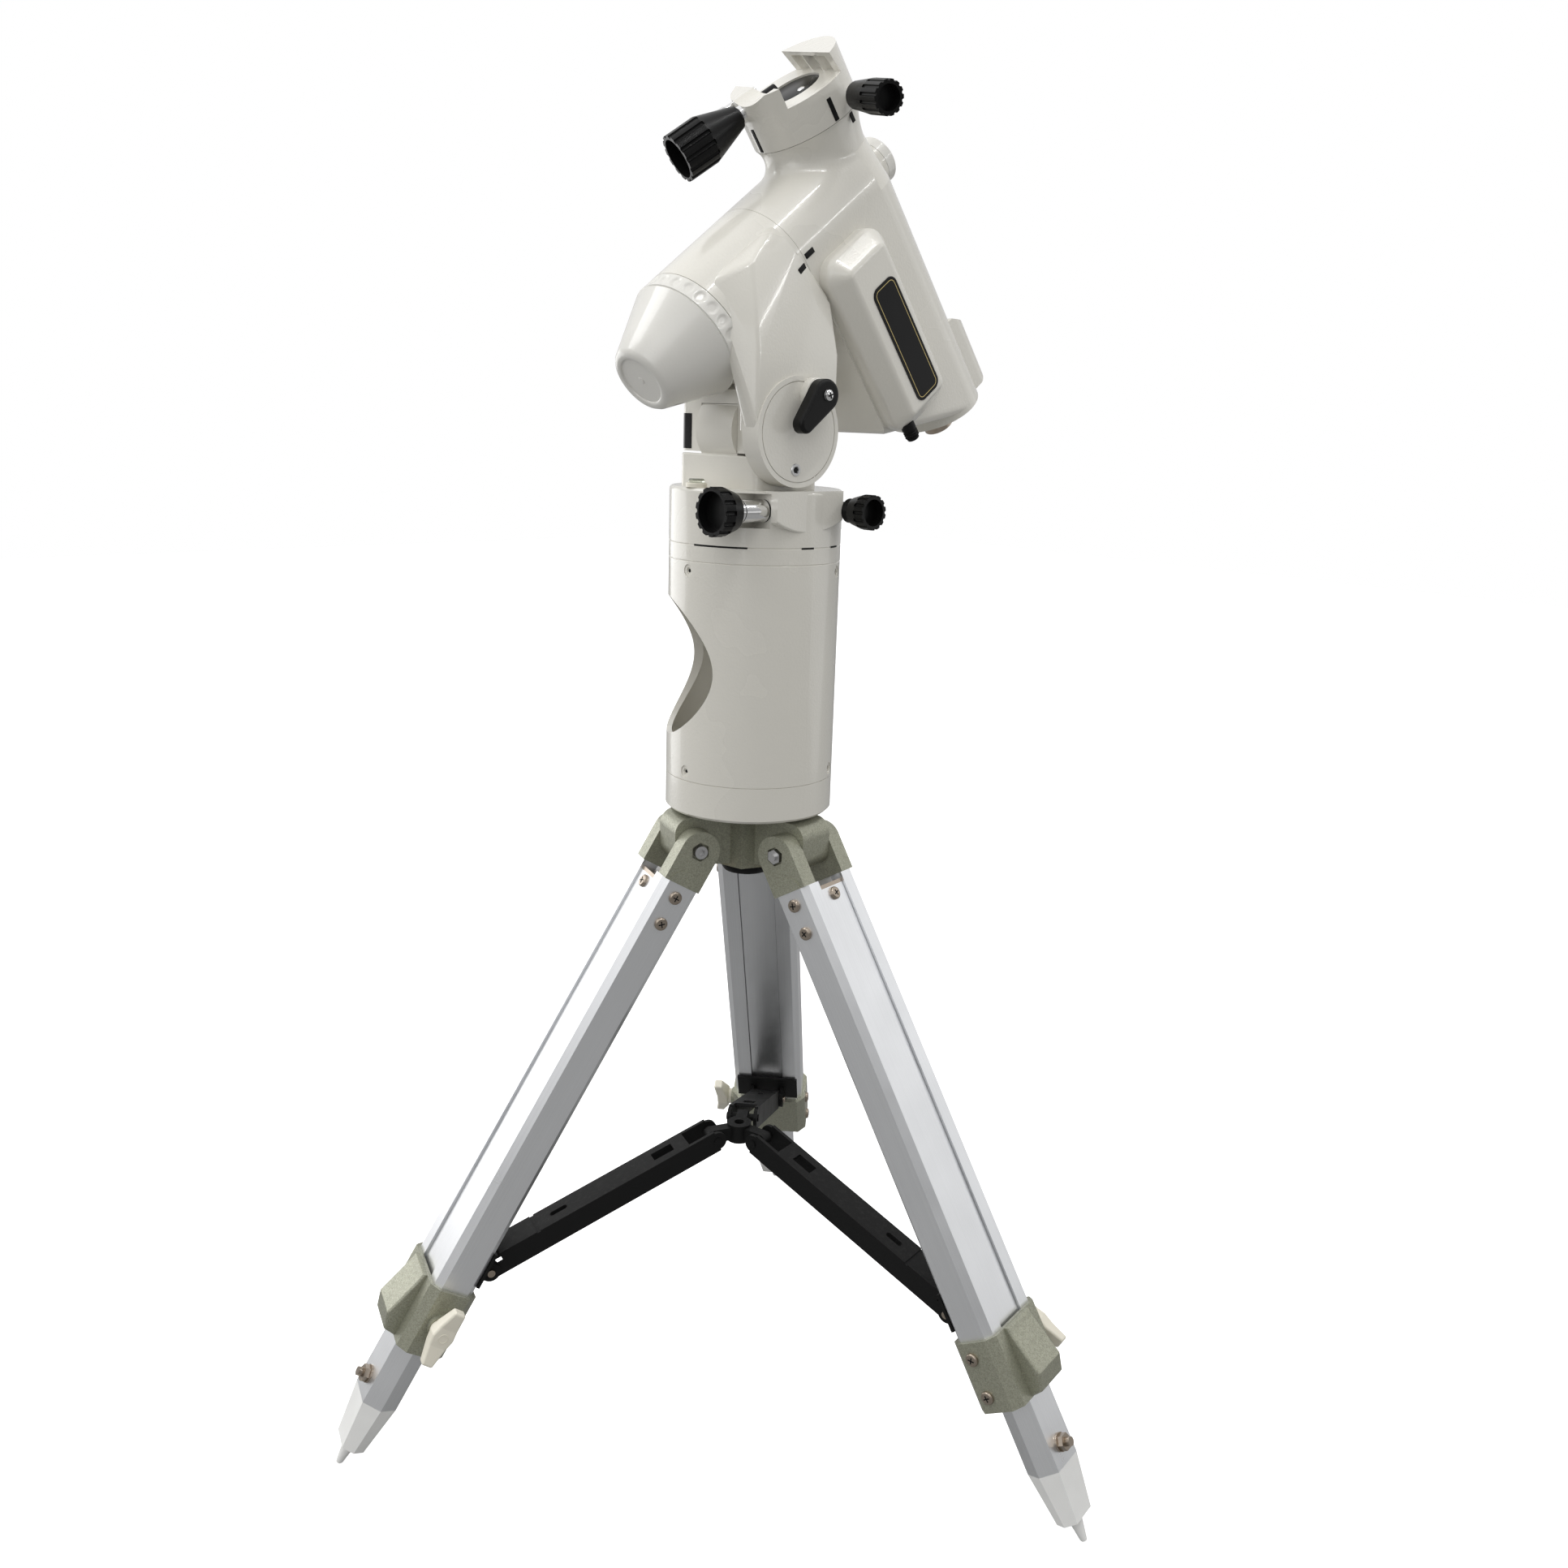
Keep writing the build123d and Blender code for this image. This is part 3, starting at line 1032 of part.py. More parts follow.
def box_room():
    """Outline of the room for the drive electronics."""
    south, north = BOX_SOUTH + ROOM_INSET, BOX_NORTH - ROOM_INSET
    low, high = BOX_BOTTOM + ROOM_INSET * 2, -BARREL_RADIUS
    return [(south, low), (north, low), (north, high), (south, high)]


def control_box_cover():
    """Bevelled cover of the drive electronics on the east side of the declination body."""
    south, north, low, high = BOX_SOUTH, BOX_NORTH, BOX_BOTTOM, BOX_TOP
    middle = Pos((south + north) / 2, (low + high) / 2, BODY_HALF)
    face = middle * RectangleRounded(north - south, high - low, BOX_CORNER)
    body = dec_side() * extrude(face, BOX_FACE - BODY_HALF)
    outer = body.faces().sort_by(Axis(CROSS_POINT, dec.x_dir))[-1]
    body = chamfer(outer.edges(), BOX_BEVEL)
    soft = edges_where(body, dec_side(), lambda spot: spot.Z > BODY_HALF + BITE)
    body = fillet(soft, BOX_ROUND)
    return body - prism(dec_side(), box_room(), BODY_HALF - BITE, BOX_FACE - BOX_WALL * 2)


def motor_cover():
    """Rounded cover of the declination motor on the body's north side."""
    half = MOTOR_HALF
    outline = [(0, BODY_BOTTOM), (MOTOR_OUT, BODY_BOTTOM), (MOTOR_OUT, MOTOR_TOP - MOTOR_SLOPE),
               (TUBE_RADIUS - MOTOR_LIP, MOTOR_TOP), (0, MOTOR_TOP)]
    body = prism(dec_side(), outline, -half, half)
    far = body.edges().group_by(Axis(CROSS_POINT, POLAR))[-1]
    body = fillet(far, MOTOR_ROUND)
    body -= dec_oval(RUNNING, BODY_BOTTOM - BITE, MOTOR_TOP + BITE)
    body -= block(dec, (-half - BITE, half + BITE), (-BITE, MOTOR_SEAT), (BODY_BOTTOM - BITE, MOTOR_TOP + BITE))
    return body


def polar_front_cap():
    """Pull-off cap at the upper end of the polar axis."""
    body = rod(dec_ra, FRONT_BOSS, FRONT_BOSS_END + GAP, FRONT_CAP_END)
    body += rod(dec_ra, SIGHT_RADIUS - RUNNING, FRONT_BOSS_END - FRONT_PLUG, FRONT_BOSS_END + BITE)
    return chamfer(body.faces().sort_by(Axis(CROSS_POINT, POLAR))[-1].edges(), FRONT_CHAMFER)


def dec_shaft():
    """Hollow declination shaft with a sight hole across it."""
    body = rod(dec, DEC_SHAFT_RADIUS, BODY_BOTTOM + SHAFT_FOOT + BITE, DEC_SEAM)
    body -= rod(dec, BAR_RADIUS + RUNNING, BODY_BOTTOM, DEC_SEAM + BITE)
    return body - rod(dec_ra, SIGHT_RADIUS, -FRONT_BOSS_END, FRONT_BOSS_END)


def dec_worm_wheel():
    """Worm wheel of the declination axis."""
    return toothed_wheel(dec, DEC_WHEEL_RADIUS, DEC_WHEEL_WIDTH, DEC_SHAFT_RADIUS + RUNNING,
                         DEC_SEAM - DEC_WHEEL_WIDTH - WHEEL_ROOM)


def counterweight_bar():
    """Sliding counterweight bar with a stop ring, stored inside the shaft."""
    body = rod(dec, BAR_RADIUS, BAR_END, BAR_TOP)
    return body + rod(dec, BAR_RING, BAR_END, BODY_BOTTOM - SLEEVE_LENGTH - GAP)


def dec_knob_plane():
    """Plane of the declination clamp knob, its normal along the groove."""
    spot = saddle_frame.origin + saddle_frame.y_dir * DEC_KNOB_Y + saddle_frame.z_dir * DEC_KNOB_Z
    return Plane(origin=spot, x_dir=saddle_frame.z_dir, z_dir=saddle_frame.x_dir)


def clamp_plane(x, z):
    """Plane across the groove whose normal points from the fixed jaw to the clamp knob."""
    spot = saddle_frame.origin + saddle_frame.x_dir * x + saddle_frame.z_dir * z
    return Plane(origin=spot, x_dir=saddle_frame.x_dir, z_dir=saddle_frame.y_dir * -1)


def saddle():
    """Drum with a dovetail groove between a fixed jaw and a horn that takes the clamp screws."""
    body = rod(saddle_frame, DRUM_RADIUS, DEC_SEAM + GAP, JAW_TOP)
    lean = tan(radians(JAW_SLANT))
    beyond = DRUM_RADIUS + OVERCUT
    foot_y = JAW_FACE + (JAW_TOP - GROOVE_FLOOR) * lean
    cut = [(HORN_FACE, GROOVE_FLOOR), (foot_y, GROOVE_FLOOR), (JAW_FACE, JAW_TOP + BITE),
           (-beyond, JAW_TOP + BITE), (-beyond, HORN_TOP), (HORN_FACE, HORN_TOP)]
    profile = Plane(origin=saddle_frame.origin, x_dir=saddle_frame.y_dir, z_dir=saddle_frame.x_dir)
    body -= prism(profile, cut, -beyond, beyond)
    dip = Plane(origin=profile.origin, x_dir=saddle_frame.x_dir, z_dir=saddle_frame.y_dir * -1)
    scoop_z = HORN_TOP - SCOOP_DEPTH + SCOOP_RADIUS
    body -= dip * Pos(SCOOP_X, scoop_z, -HORN_FACE - BITE) * Cylinder(SCOOP_RADIUS, DRUM_RADIUS, align=ON_AXIS)
    for x in JAW_FLUTES:
        flute = saddle_frame * Pos(x, JAW_FACE, GROOVE_FLOOR)
        body -= flute * Cylinder(JAW_FLUTE_RADIUS, JAW_TOP - JAW_LIP - GROOVE_FLOOR, align=ON_AXIS)
    body -= rod(saddle_frame, PLATE_RADIUS, GROOVE_FLOOR - PLATE_DEPTH, GROOVE_FLOOR + BITE)
    body -= rod(saddle_frame, BAR_RADIUS + SLIDING, DEC_SEAM - OVERCUT, DEC_SEAM + BAR_ROOM)
    body -= rod(clamp_plane(0, CLAMP_Z), CLAMP_SHAFT + RUNNING, CLAMP_ROOT - BITE, beyond)
    body -= rod(clamp_plane(SAFETY_X, SAFETY_Z), SAFETY_RADIUS + RUNNING, SAFETY_ROOT - BITE, beyond)
    body -= rod(dec_knob_plane(), DEC_KNOB_STEM + RUNNING, DEC_KNOB_ROOT - BITE, DRUM_RADIUS)
    return body


def saddle_clamp_knob():
    """Large fluted knob on a steel shaft that closes the groove."""
    plane = clamp_plane(0, CLAMP_Z)
    body = rod(plane, CLAMP_SHAFT, CLAMP_ROOT, CLAMP_START + BITE)
    return body + knob(plane, CLAMP_SMALL, CLAMP_LARGE, CLAMP_START, CLAMP_END, CLAMP_CUP)


def saddle_safety_screw():
    """Small knurled screw beside the clamp knob."""
    plane = clamp_plane(SAFETY_X, SAFETY_Z)
    stem = rod(plane, SAFETY_RADIUS, SAFETY_ROOT, SAFETY_HEAD)
    return stem + hexagon(plane, SAFETY_FLATS, SAFETY_HEAD, SAFETY_END)


def dec_clamp_knob():
    """Small fluted knob that locks the declination axis."""
    plane = dec_knob_plane()
    body = rod(plane, DEC_KNOB_STEM, DEC_KNOB_ROOT, DEC_KNOB_START + BITE)
    return body + knob(plane, DEC_KNOB_RADIUS * KNOB_WAIST, DEC_KNOB_RADIUS, DEC_KNOB_START, DEC_KNOB_END,
                       KNOB_CUP)


os.makedirs("parts", exist_ok=True)

leg_pieces = {
    "rails": group([rail(1), rail(-1)]),
    "ears": group([ear(1), ear(-1)]),
    "collar": collar(),
    "fasteners": leg_fasteners(),
    "spreader_bracket": bracket(),
    "shank": shank(),
    "foot": foot(),
    "travel_stops": travel_stops(),
}
arm_piece = arm()
bolt_piece = pivot_bolt()
for number, (azimuth, turn) in enumerate(zip(LEG_AZIMUTHS, WING_TURNS), 1):
    place = leg_plane(azimuth)
    for word, piece in leg_pieces.items():
        save(place * piece, f"leg_{number}_{word}")
    save(place * wing_knob(turn), f"leg_{number}_wing_knob")
    save(arm_plane(azimuth) * arm_piece, f"leg_{number}_spreader_arm")

save(tripod_head(), "tripod_head")
save(group([leg_plane(a) * bolt_piece for a in LEG_AZIMUTHS]), "leg_pivot_bolts")
save(spreader_hub(), "spreader_hub")
save(pillar_tube(), "pillar_tube")
save(pillar_top_flange(), "pillar_top_flange")
save(pillar_bottom_flange(), "pillar_bottom_flange")
save(group([pillar_screw(plane) for plane in pillar_screw_planes()]), "pillar_screws")
save(azimuth_base(), "azimuth_base")
save(azimuth_axle(), "azimuth_axle")
save(altitude_knob(), "altitude_knob")
save(azimuth_knob(1), "azimuth_knob_east")
save(azimuth_knob(-1), "azimuth_knob_west")
save(bubble_level(), "bubble_level")
save(ra_housing(), "ra_housing")
save(altitude_shaft(), "altitude_shaft")
save(altitude_lever(), "altitude_lever")
save(polar_scope_cap(), "polar_scope_cap")
save(ra_shaft(), "ra_shaft")
save(ra_worm_wheel(), "ra_worm_wheel")
save(dec_housing(), "dec_housing")
save(control_box_cover(), "control_box_cover")
save(motor_cover(), "motor_cover")
save(polar_front_cap(), "polar_front_cap")
save(dec_shaft(), "dec_shaft")
save(dec_worm_wheel(), "dec_worm_wheel")
save(counterweight_bar(), "counterweight_bar")
save(saddle(), "saddle")
save(saddle_clamp_knob(), "saddle_clamp_knob")
save(saddle_safety_screw(), "saddle_safety_screw")
save(dec_clamp_knob(), "dec_clamp_knob")
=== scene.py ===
"""Looks of an equatorial telescope mount on a half pillar and a folding tripod."""

import json
import logging
import math
from dataclasses import dataclass
from enum import Enum
from typing import Any, Iterable, Sequence

import bmesh
import bpy
from mathutils import Matrix, Vector


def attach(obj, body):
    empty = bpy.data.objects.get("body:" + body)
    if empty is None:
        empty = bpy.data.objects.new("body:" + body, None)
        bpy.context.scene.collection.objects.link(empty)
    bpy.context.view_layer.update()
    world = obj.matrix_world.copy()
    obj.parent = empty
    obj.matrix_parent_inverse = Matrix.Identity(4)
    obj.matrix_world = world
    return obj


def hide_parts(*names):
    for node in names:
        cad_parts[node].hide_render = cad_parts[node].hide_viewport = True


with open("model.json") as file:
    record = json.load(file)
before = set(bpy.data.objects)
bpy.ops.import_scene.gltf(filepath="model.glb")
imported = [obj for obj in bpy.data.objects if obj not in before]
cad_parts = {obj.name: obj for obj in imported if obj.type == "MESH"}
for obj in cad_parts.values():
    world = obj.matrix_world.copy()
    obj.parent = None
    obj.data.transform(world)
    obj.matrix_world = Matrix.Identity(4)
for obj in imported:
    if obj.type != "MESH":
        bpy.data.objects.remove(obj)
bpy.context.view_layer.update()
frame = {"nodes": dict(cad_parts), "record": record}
LOG = logging.getLogger("mount")
MM = 0.001
FULL_TURN = 360.0
RIGHT_ANGLE = 90.0
LATHE_STEPS = 64
Spot = tuple[float, float, float]
Colour = tuple[float, float, float]
Point = tuple[float, float]
Outline = tuple[Point, ...]
Shape = bmesh.types.BMesh
WHITE: Colour = (1.0, 1.0, 1.0)
BLACK: Colour = (0.0, 0.0, 0.0)
UNIT: Point = (0.0, 1.0)
MIDDLE: Point = (0.3, 0.7)
MIX_FACTOR, MIX_LOW, MIX_HIGH, MIX_RESULT = 0, 6, 7, 2


class Body(str, Enum):
    """Moving bodies that new pieces ride on."""

    STAND = "stand"
    BASE = "base"
    ALTITUDE_KNOB = "altitude_knob"
    POLAR_HOUSING = "polar_housing"
    LEVER = "altitude_lever"
    SCOPE_CAP = "polar_scope_cap"
    DECLINATION = "declination_body"
    SADDLE = "saddle"
    CLAMP_KNOB = "saddle_clamp_knob"
    DEC_KNOB = "dec_clamp_knob"


class Slot(str, Enum):
    """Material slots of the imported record."""

    IVORY_PAINT = "ivory_paint"
    IVORY_CAP = "ivory_cap"
    IVORY_PLASTIC = "ivory_plastic"
    WHITE_FOOT = "white_foot"
    GREY_CASTING = "grey_casting"
    RAIL = "rail_aluminium"
    BLACK_PLASTIC = "black_plastic"
    BLACK_KNOB = "black_knob"
    BRONZE_STEEL = "bronze_steel"
    STEEL = "steel"
    BRASS = "brass_wheel"
    CHROME = "chrome_screw"
    RING_METAL = "ring_metal"
    LEVEL = "clear_level"


class Effect(str, Enum):
    """Shared surface effects, each one shader node group."""

    PEEL = "orange_peel"
    GRAIN = "moulded_grain"
    FLAKE = "metal_flake"
    DRAWN = "drawn_lines"
    DUST = "light_dust"


@dataclass
class Tree:
    """A node tree with short calls for adding and joining nodes."""

    nodes: Any
    links: Any

    def add(self, kind: str, **values: Any) -> Any:
        """Add a node and set its attributes or input values.

        Args:
            kind: Node type name after the ShaderNode prefix.
            values: Attributes in lower case, or input sockets with _ for a space.

        Returns:
            The new node.
        """
        node = self.nodes.new(f"ShaderNode{kind}")
        for key, value in values.items():
            name = key.replace("_", " ")
            if name in node.inputs:
                node.inputs[name].default_value = value
            else:
                setattr(node, key, value)
        return node

    def join(self, source: Any, target: Any) -> None:
        """Join an output socket to an input socket."""
        self.links.new(source, target)

    def texture(self, kind: str, place: Any, **values: Any) -> Any:
        """Add a texture node that reads a vector.

        Args:
            kind: Node type name after the ShaderNodeTex prefix.
            place: Vector socket.
            values: Attributes or input values.

        Returns:
            The new node.
        """
        node = self.add(f"Tex{kind}", **values)
        self.join(place, node.inputs["Vector"])
        return node

    def maths(self, operation: str, first: Any, second: Any) -> Any:
        """Add a Math node on two sockets or numbers.

        Args:
            operation: Name of the operation.
            first: Socket or number.
            second: Socket or number.

        Returns:
            The node's output socket.
        """
        node = self.add("Math", operation=operation)
        for index, value in enumerate((first, second)):
            if isinstance(value, (int, float)):
                node.inputs[index].default_value = value
            else:
                self.join(value, node.inputs[index])
        return node.outputs[0]

    def blend(self, factor: Any, low: Any, high: Any) -> Any:
        """Mix two colours.

        Args:
            factor: Socket with the mix factor.
            low: Socket or colour at factor 0.
            high: Socket or colour at factor 1.

        Returns:
            The mixed colour's socket.
        """
        node = self.add("Mix", data_type="RGBA")
        self.join(factor, node.inputs[MIX_FACTOR])
        for index, value in ((MIX_LOW, low), (MIX_HIGH, high)):
            if isinstance(value, tuple):
                node.inputs[index].default_value = (*value, 1.0)
            else:
                self.join(value, node.inputs[index])
        return node.outputs[MIX_RESULT]

    def span(self, value: Any, taken: Point, given: Point) -> Any:
        """Map a value from one span to another, clamped.

        Args:
            value: Socket to map.
            taken: Inputs that give the ends of the output.
            given: Ends of the output.

        Returns:
            The mapped socket.
        """
        node = self.add("MapRange", From_Min=taken[0], From_Max=taken[1],
                        To_Min=given[0], To_Max=given[1])
        self.join(value, node.inputs["Value"])
        return node.outputs["Result"]


class EffectGroup(Tree):
    """A shader node group that reads a vector and gives values."""

    UPWARD: Point = (0.2, 1.0)
    SPECKS: Point = (0.5, 0.75)

    def __init__(self, effect: Effect) -> None:
        """Make the group of an effect.

        Args:
            effect: Which effect.
        """
        self.group = bpy.data.node_groups.new(effect.value, "ShaderNodeTree")
        super().__init__(self.group.nodes, self.group.links)
        self.socket("Vector", "INPUT", "NodeSocketVector")
        self.start = self.nodes.new("NodeGroupInput")
        self.end = self.nodes.new("NodeGroupOutput")
        {Effect.PEEL: self.peel, Effect.GRAIN: self.grain, Effect.FLAKE: self.flake,
         Effect.DRAWN: self.drawn, Effect.DUST: self.dust}[effect]()

    def socket(self, name: str, way: str, kind: str = "NodeSocketFloat") -> Any:
        """Add a socket to the group's outside."""
        return self.group.interface.new_socket(name, in_out=way, socket_type=kind)

    def take(self, name: str, value: float) -> Any:
        """Add a value input and give its socket inside the group."""
        self.socket(name, "INPUT").default_value = value
        return self.start.outputs[name]

    def noise(self, **values: float) -> Any:
        """Add a noise that reads the group's vector."""
        return self.texture("Noise", self.start.outputs["Vector"], **values)

    def give(self, name: str, value: Any) -> None:
        """Add a value output fed by a socket."""
        self.socket(name, "OUTPUT")
        self.join(value, self.end.inputs[name])

    def peel(self) -> None:
        """Orange-peel skin of sprayed paint: a fine height and a slow mottle."""
        fine = self.noise(Detail=2.0, Roughness=0.45)
        slow = self.noise(Detail=3.0, Roughness=0.6)
        self.join(self.take("Scale", 520.0), fine.inputs["Scale"])
        self.join(self.take("Mottle", 9.0), slow.inputs["Scale"])
        self.give("Height", fine.outputs["Fac"])
        self.give("Mottle", slow.outputs["Fac"])

    def grain(self) -> None:
        """Fine moulded grain of plastic."""
        fine = self.texture("Voronoi", self.start.outputs["Vector"], feature="SMOOTH_F1",
                            Smoothness=0.6)
        slow = self.noise(Scale=30.0, Detail=2.0)
        self.join(self.take("Scale", 1600.0), fine.inputs["Scale"])
        self.give("Height", fine.outputs["Distance"])
        self.give("Mottle", slow.outputs["Fac"])

    def flake(self) -> None:
        """Sparkling flakes and the rough skin of a painted casting."""
        cells = self.texture("Voronoi", self.start.outputs["Vector"])
        rough = self.noise(Scale=420.0, Detail=3.0)
        self.join(self.take("Scale", 1500.0), cells.inputs["Scale"])
        split = self.add("SeparateColor")
        self.join(cells.outputs["Color"], split.inputs["Color"])
        self.give("Flake", split.outputs["Red"])
        self.give("Height", rough.outputs["Fac"])

    def drawn(self) -> None:
        """Long fine lines of an extruded or turned metal, along the local Z."""
        scale = self.add("CombineXYZ")
        self.take("Across", 1400.0)
        self.join(self.take("Along", 4.0), scale.inputs["Z"])
        for axis in ("X", "Y"):
            self.join(self.start.outputs["Across"], scale.inputs[axis])
        stretch = self.add("VectorMath", operation="MULTIPLY")
        self.join(self.start.outputs["Vector"], stretch.inputs[0])
        self.join(scale.outputs["Vector"], stretch.inputs[1])
        lines = self.texture("Noise", stretch.outputs["Vector"], Scale=1.0, Detail=2.0)
        smudge = self.noise(Scale=14.0, Detail=4.0, Roughness=0.6)
        self.give("Lines", lines.outputs["Fac"])
        self.give("Smudge", smudge.outputs["Fac"])

    def dust(self) -> None:
        """Light dust that gathers on faces that look up."""
        speck = self.noise(Scale=220.0, Detail=5.0, Roughness=0.7)
        split = self.add("SeparateXYZ")
        self.join(self.add("NewGeometry").outputs["Normal"], split.inputs["Vector"])
        facing = self.span(split.outputs["Z"], self.UPWARD, UNIT)
        grains = self.span(speck.outputs["Fac"], self.SPECKS, UNIT)
        mask = self.maths("MULTIPLY", facing, grains)
        self.give("Mask", self.maths("MULTIPLY", mask, self.take("Amount", 0.3)))


@dataclass
class Surface(Tree):
    """A material's node tree with its shader and its object coordinates."""

    shader: Any
    place: Any

    def fix(self, socket: str, value: Any) -> None:
        """Set a constant on an input of the shader."""
        self.shader.inputs[socket].default_value = value

    def feed(self, socket: str, value: Any) -> None:
        """Join a socket to an input of the shader."""
        self.join(value, self.shader.inputs[socket])

    def effect(self, effect: Effect, place: Any = None, **values: float) -> Any:
        """Place a shared effect, made at first use.

        Args:
            effect: Which effect.
            place: Vector socket that it reads, if not the object coordinates.
            values: Input values.

        Returns:
            The effect's output sockets.
        """
        made = bpy.data.node_groups.get(effect.value) or EffectGroup(effect).group
        node = self.add("Group", node_tree=made)
        for key, value in values.items():
            node.inputs[key].default_value = value
        self.join(self.place if place is None else place, node.inputs["Vector"])
        return node.outputs

    def bump(self, height: Any, strength: float, depth: float) -> None:
        """Feed a height to the shader's normal.

        Args:
            height: Height socket.
            strength: Bump strength.
            depth: Bump distance in metres.
        """
        node = self.add("Bump", Strength=strength, Distance=depth)
        self.join(height, node.inputs["Height"])
        self.feed("Normal", node.outputs["Normal"])


@dataclass(frozen=True)
class Finish:
    """A surface finish that becomes one material.

    Args:
        name: Material name.
        colour: Base colour, linear.
        roughness: Middle roughness.
        metallic: Metal share.
        tone: Shades of the colour where its pattern is low and high.
        swing: Changes of the roughness where its pattern is low and high.
        depth: Depth of the skin's bumps in metres.
        dust: Share of light dust.
        dust_colour: Colour of the dust.
    """

    name: str
    colour: Colour
    roughness: float = 0.4
    metallic: float = 0.0
    tone: Point = (1.0, 1.0)
    swing: Point = (0.0, 0.0)
    depth: float = 0.0002
    dust: float = 0.0
    dust_colour: Colour = (0.45, 0.44, 0.41)

    def material(self) -> bpy.types.Material:
        """Give the material, made at first use.

        Returns:
            The material.
        """
        found = bpy.data.materials.get(self.name)
        if found:
            return found
        made = bpy.data.materials.new(self.name)
        made.use_nodes = True
        made.diffuse_color = (*self.colour, 1.0)
        nodes = made.node_tree.nodes
        place = nodes.new("ShaderNodeTexCoord").outputs["Object"]
        work = Surface(nodes, made.node_tree.links, nodes["Principled BSDF"], place)
        work.fix("Base Color", (*self.colour, 1.0))
        work.fix("Roughness", self.roughness)
        work.fix("Metallic", self.metallic)
        self.dress(work)
        return made

    def dress(self, work: Surface) -> None:
        """Add the finish's own nodes."""

    def shade(self, by: float) -> Colour:
        """Give the colour scaled by a factor."""
        return tuple(min(1.0, part * by) for part in self.colour)

    def dust_tone(self) -> Colour:
        """Give the colour of the finish under dust."""
        return self.dust_colour

    def tint(self, work: Surface, pattern: Any, dusty: bool = True) -> None:
        """Vary the colour with a pattern and lay dust on it.

        Args:
            work: The material being made.
            pattern: Socket with the pattern.
            dusty: Whether dust lies on it.
        """
        colour = work.blend(pattern, *(self.shade(by) for by in self.tone))
        if dusty:
            mask = work.effect(Effect.DUST, Amount=self.dust)["Mask"]
            colour = work.blend(mask, colour, self.dust_tone())
        work.feed("Base Color", colour)

    def roughen(self, work: Surface, pattern: Any, taken: Point = MIDDLE) -> None:
        """Vary the roughness with a pattern, between its low and high values."""
        low, high = (self.roughness + part for part in self.swing)
        work.feed("Roughness", work.span(pattern, taken, (low, high)))


@dataclass(frozen=True)
class SprayedPaint(Finish):
    """Sprayed paint with an orange-peel skin, a thin clear coat and a little dust."""

    tone: Point = (0.955, 1.03)
    swing: Point = (-0.04, 0.06)
    depth: float = 0.0006
    dust: float = 0.10
    dust_shade: float = 0.72
    peel: float = 0.25
    coat: float = 0.7
    coat_roughness: float = 0.09

    def dust_tone(self) -> Colour:
        """Give the paint's own colour, darker."""
        return self.shade(self.dust_shade)

    def dress(self, work: Surface) -> None:
        """Add coat, mottle, peel and dust.

        Args:
            work: The material being made.
        """
        work.fix("Coat Weight", self.coat)
        work.fix("Coat Roughness", self.coat_roughness)
        peel = work.effect(Effect.PEEL)
        self.tint(work, peel["Mottle"])
        self.roughen(work, peel["Mottle"])
        work.bump(peel["Height"], self.peel, self.depth)


@dataclass(frozen=True)
class FloorPaint(SprayedPaint):
    """Pale floor paint that glows enough to meet the white backdrop.

    Args:
        glow: Strength of the glow that the camera sees.
        bounce: Share of the colour that other rays see.
    """

    glow: float = 0.62
    bounce: float = 0.3

    def dress(self, work: Surface) -> None:
        """Add the paint and its glow.

        Args:
            work: The material being made.
        """
        super().dress(work)
        seen = work.add("LightPath").outputs["Is Camera Ray"]
        work.feed("Emission Color", work.blend(seen, BLACK, WHITE))
        work.feed("Base Color", work.blend(seen, self.shade(self.bounce), self.colour))
        work.fix("Emission Strength", self.glow)


@dataclass(frozen=True)
class CastPaint(Finish):
    """Metallic paint on a sand casting."""

    tone: Point = (0.82, 1.22)
    swing: Point = (0.08, -0.08)
    depth: float = 0.0005
    dust: float = 0.3
    dust_colour: Colour = (0.42, 0.41, 0.36)
    skin: float = 0.25

    def dress(self, work: Surface) -> None:
        """Add flakes, dust and the casting's skin.

        Args:
            work: The material being made.
        """
        flake = work.effect(Effect.FLAKE)
        self.tint(work, flake["Flake"])
        self.roughen(work, flake["Flake"], UNIT)
        work.bump(flake["Height"], self.skin, self.depth)


@dataclass(frozen=True)
class DrawnMetal(Finish):
    """Extruded or turned metal with fine lines along one direction.

    Args:
        along: Direction of the lines.
        lines: Depth of the lines.
    """

    tone: Point = (0.93, 1.05)
    swing: Point = (-0.06, 0.08)
    along: Spot = (0.0, 0.0, 1.0)
    lines: float = 0.12

    def dress(self, work: Surface) -> None:
        """Add drawn lines and smudges.

        Args:
            work: The material being made.
        """
        turn = Vector(self.along).rotation_difference(Vector((0.0, 0.0, 1.0))).to_euler()
        aim = work.add("Mapping", Rotation=turn)
        work.join(work.place, aim.inputs["Vector"])
        drawn = work.effect(Effect.DRAWN, aim.outputs["Vector"])
        self.tint(work, drawn["Lines"], dusty=False)
        self.roughen(work, drawn["Smudge"])
        work.bump(drawn["Lines"], self.lines, self.depth)


@dataclass(frozen=True)
class Moulded(Finish):
    """Moulded plastic with a fine grain.

    Args:
        grain: Strength of the grain.
        shine: Strength of the reflections.
    """

    tone: Point = (0.9, 1.08)
    swing: Point = (-0.05, 0.07)
    grain: float = 0.15
    shine: float = 0.5

    def dress(self, work: Surface) -> None:
        """Add grain and dust.

        Args:
            work: The material being made.
        """
        work.fix("Specular IOR Level", self.shine)
        grain = work.effect(Effect.GRAIN)
        self.tint(work, grain["Mottle"])
        self.roughen(work, grain["Mottle"])
        work.bump(grain["Height"], self.grain, self.depth)


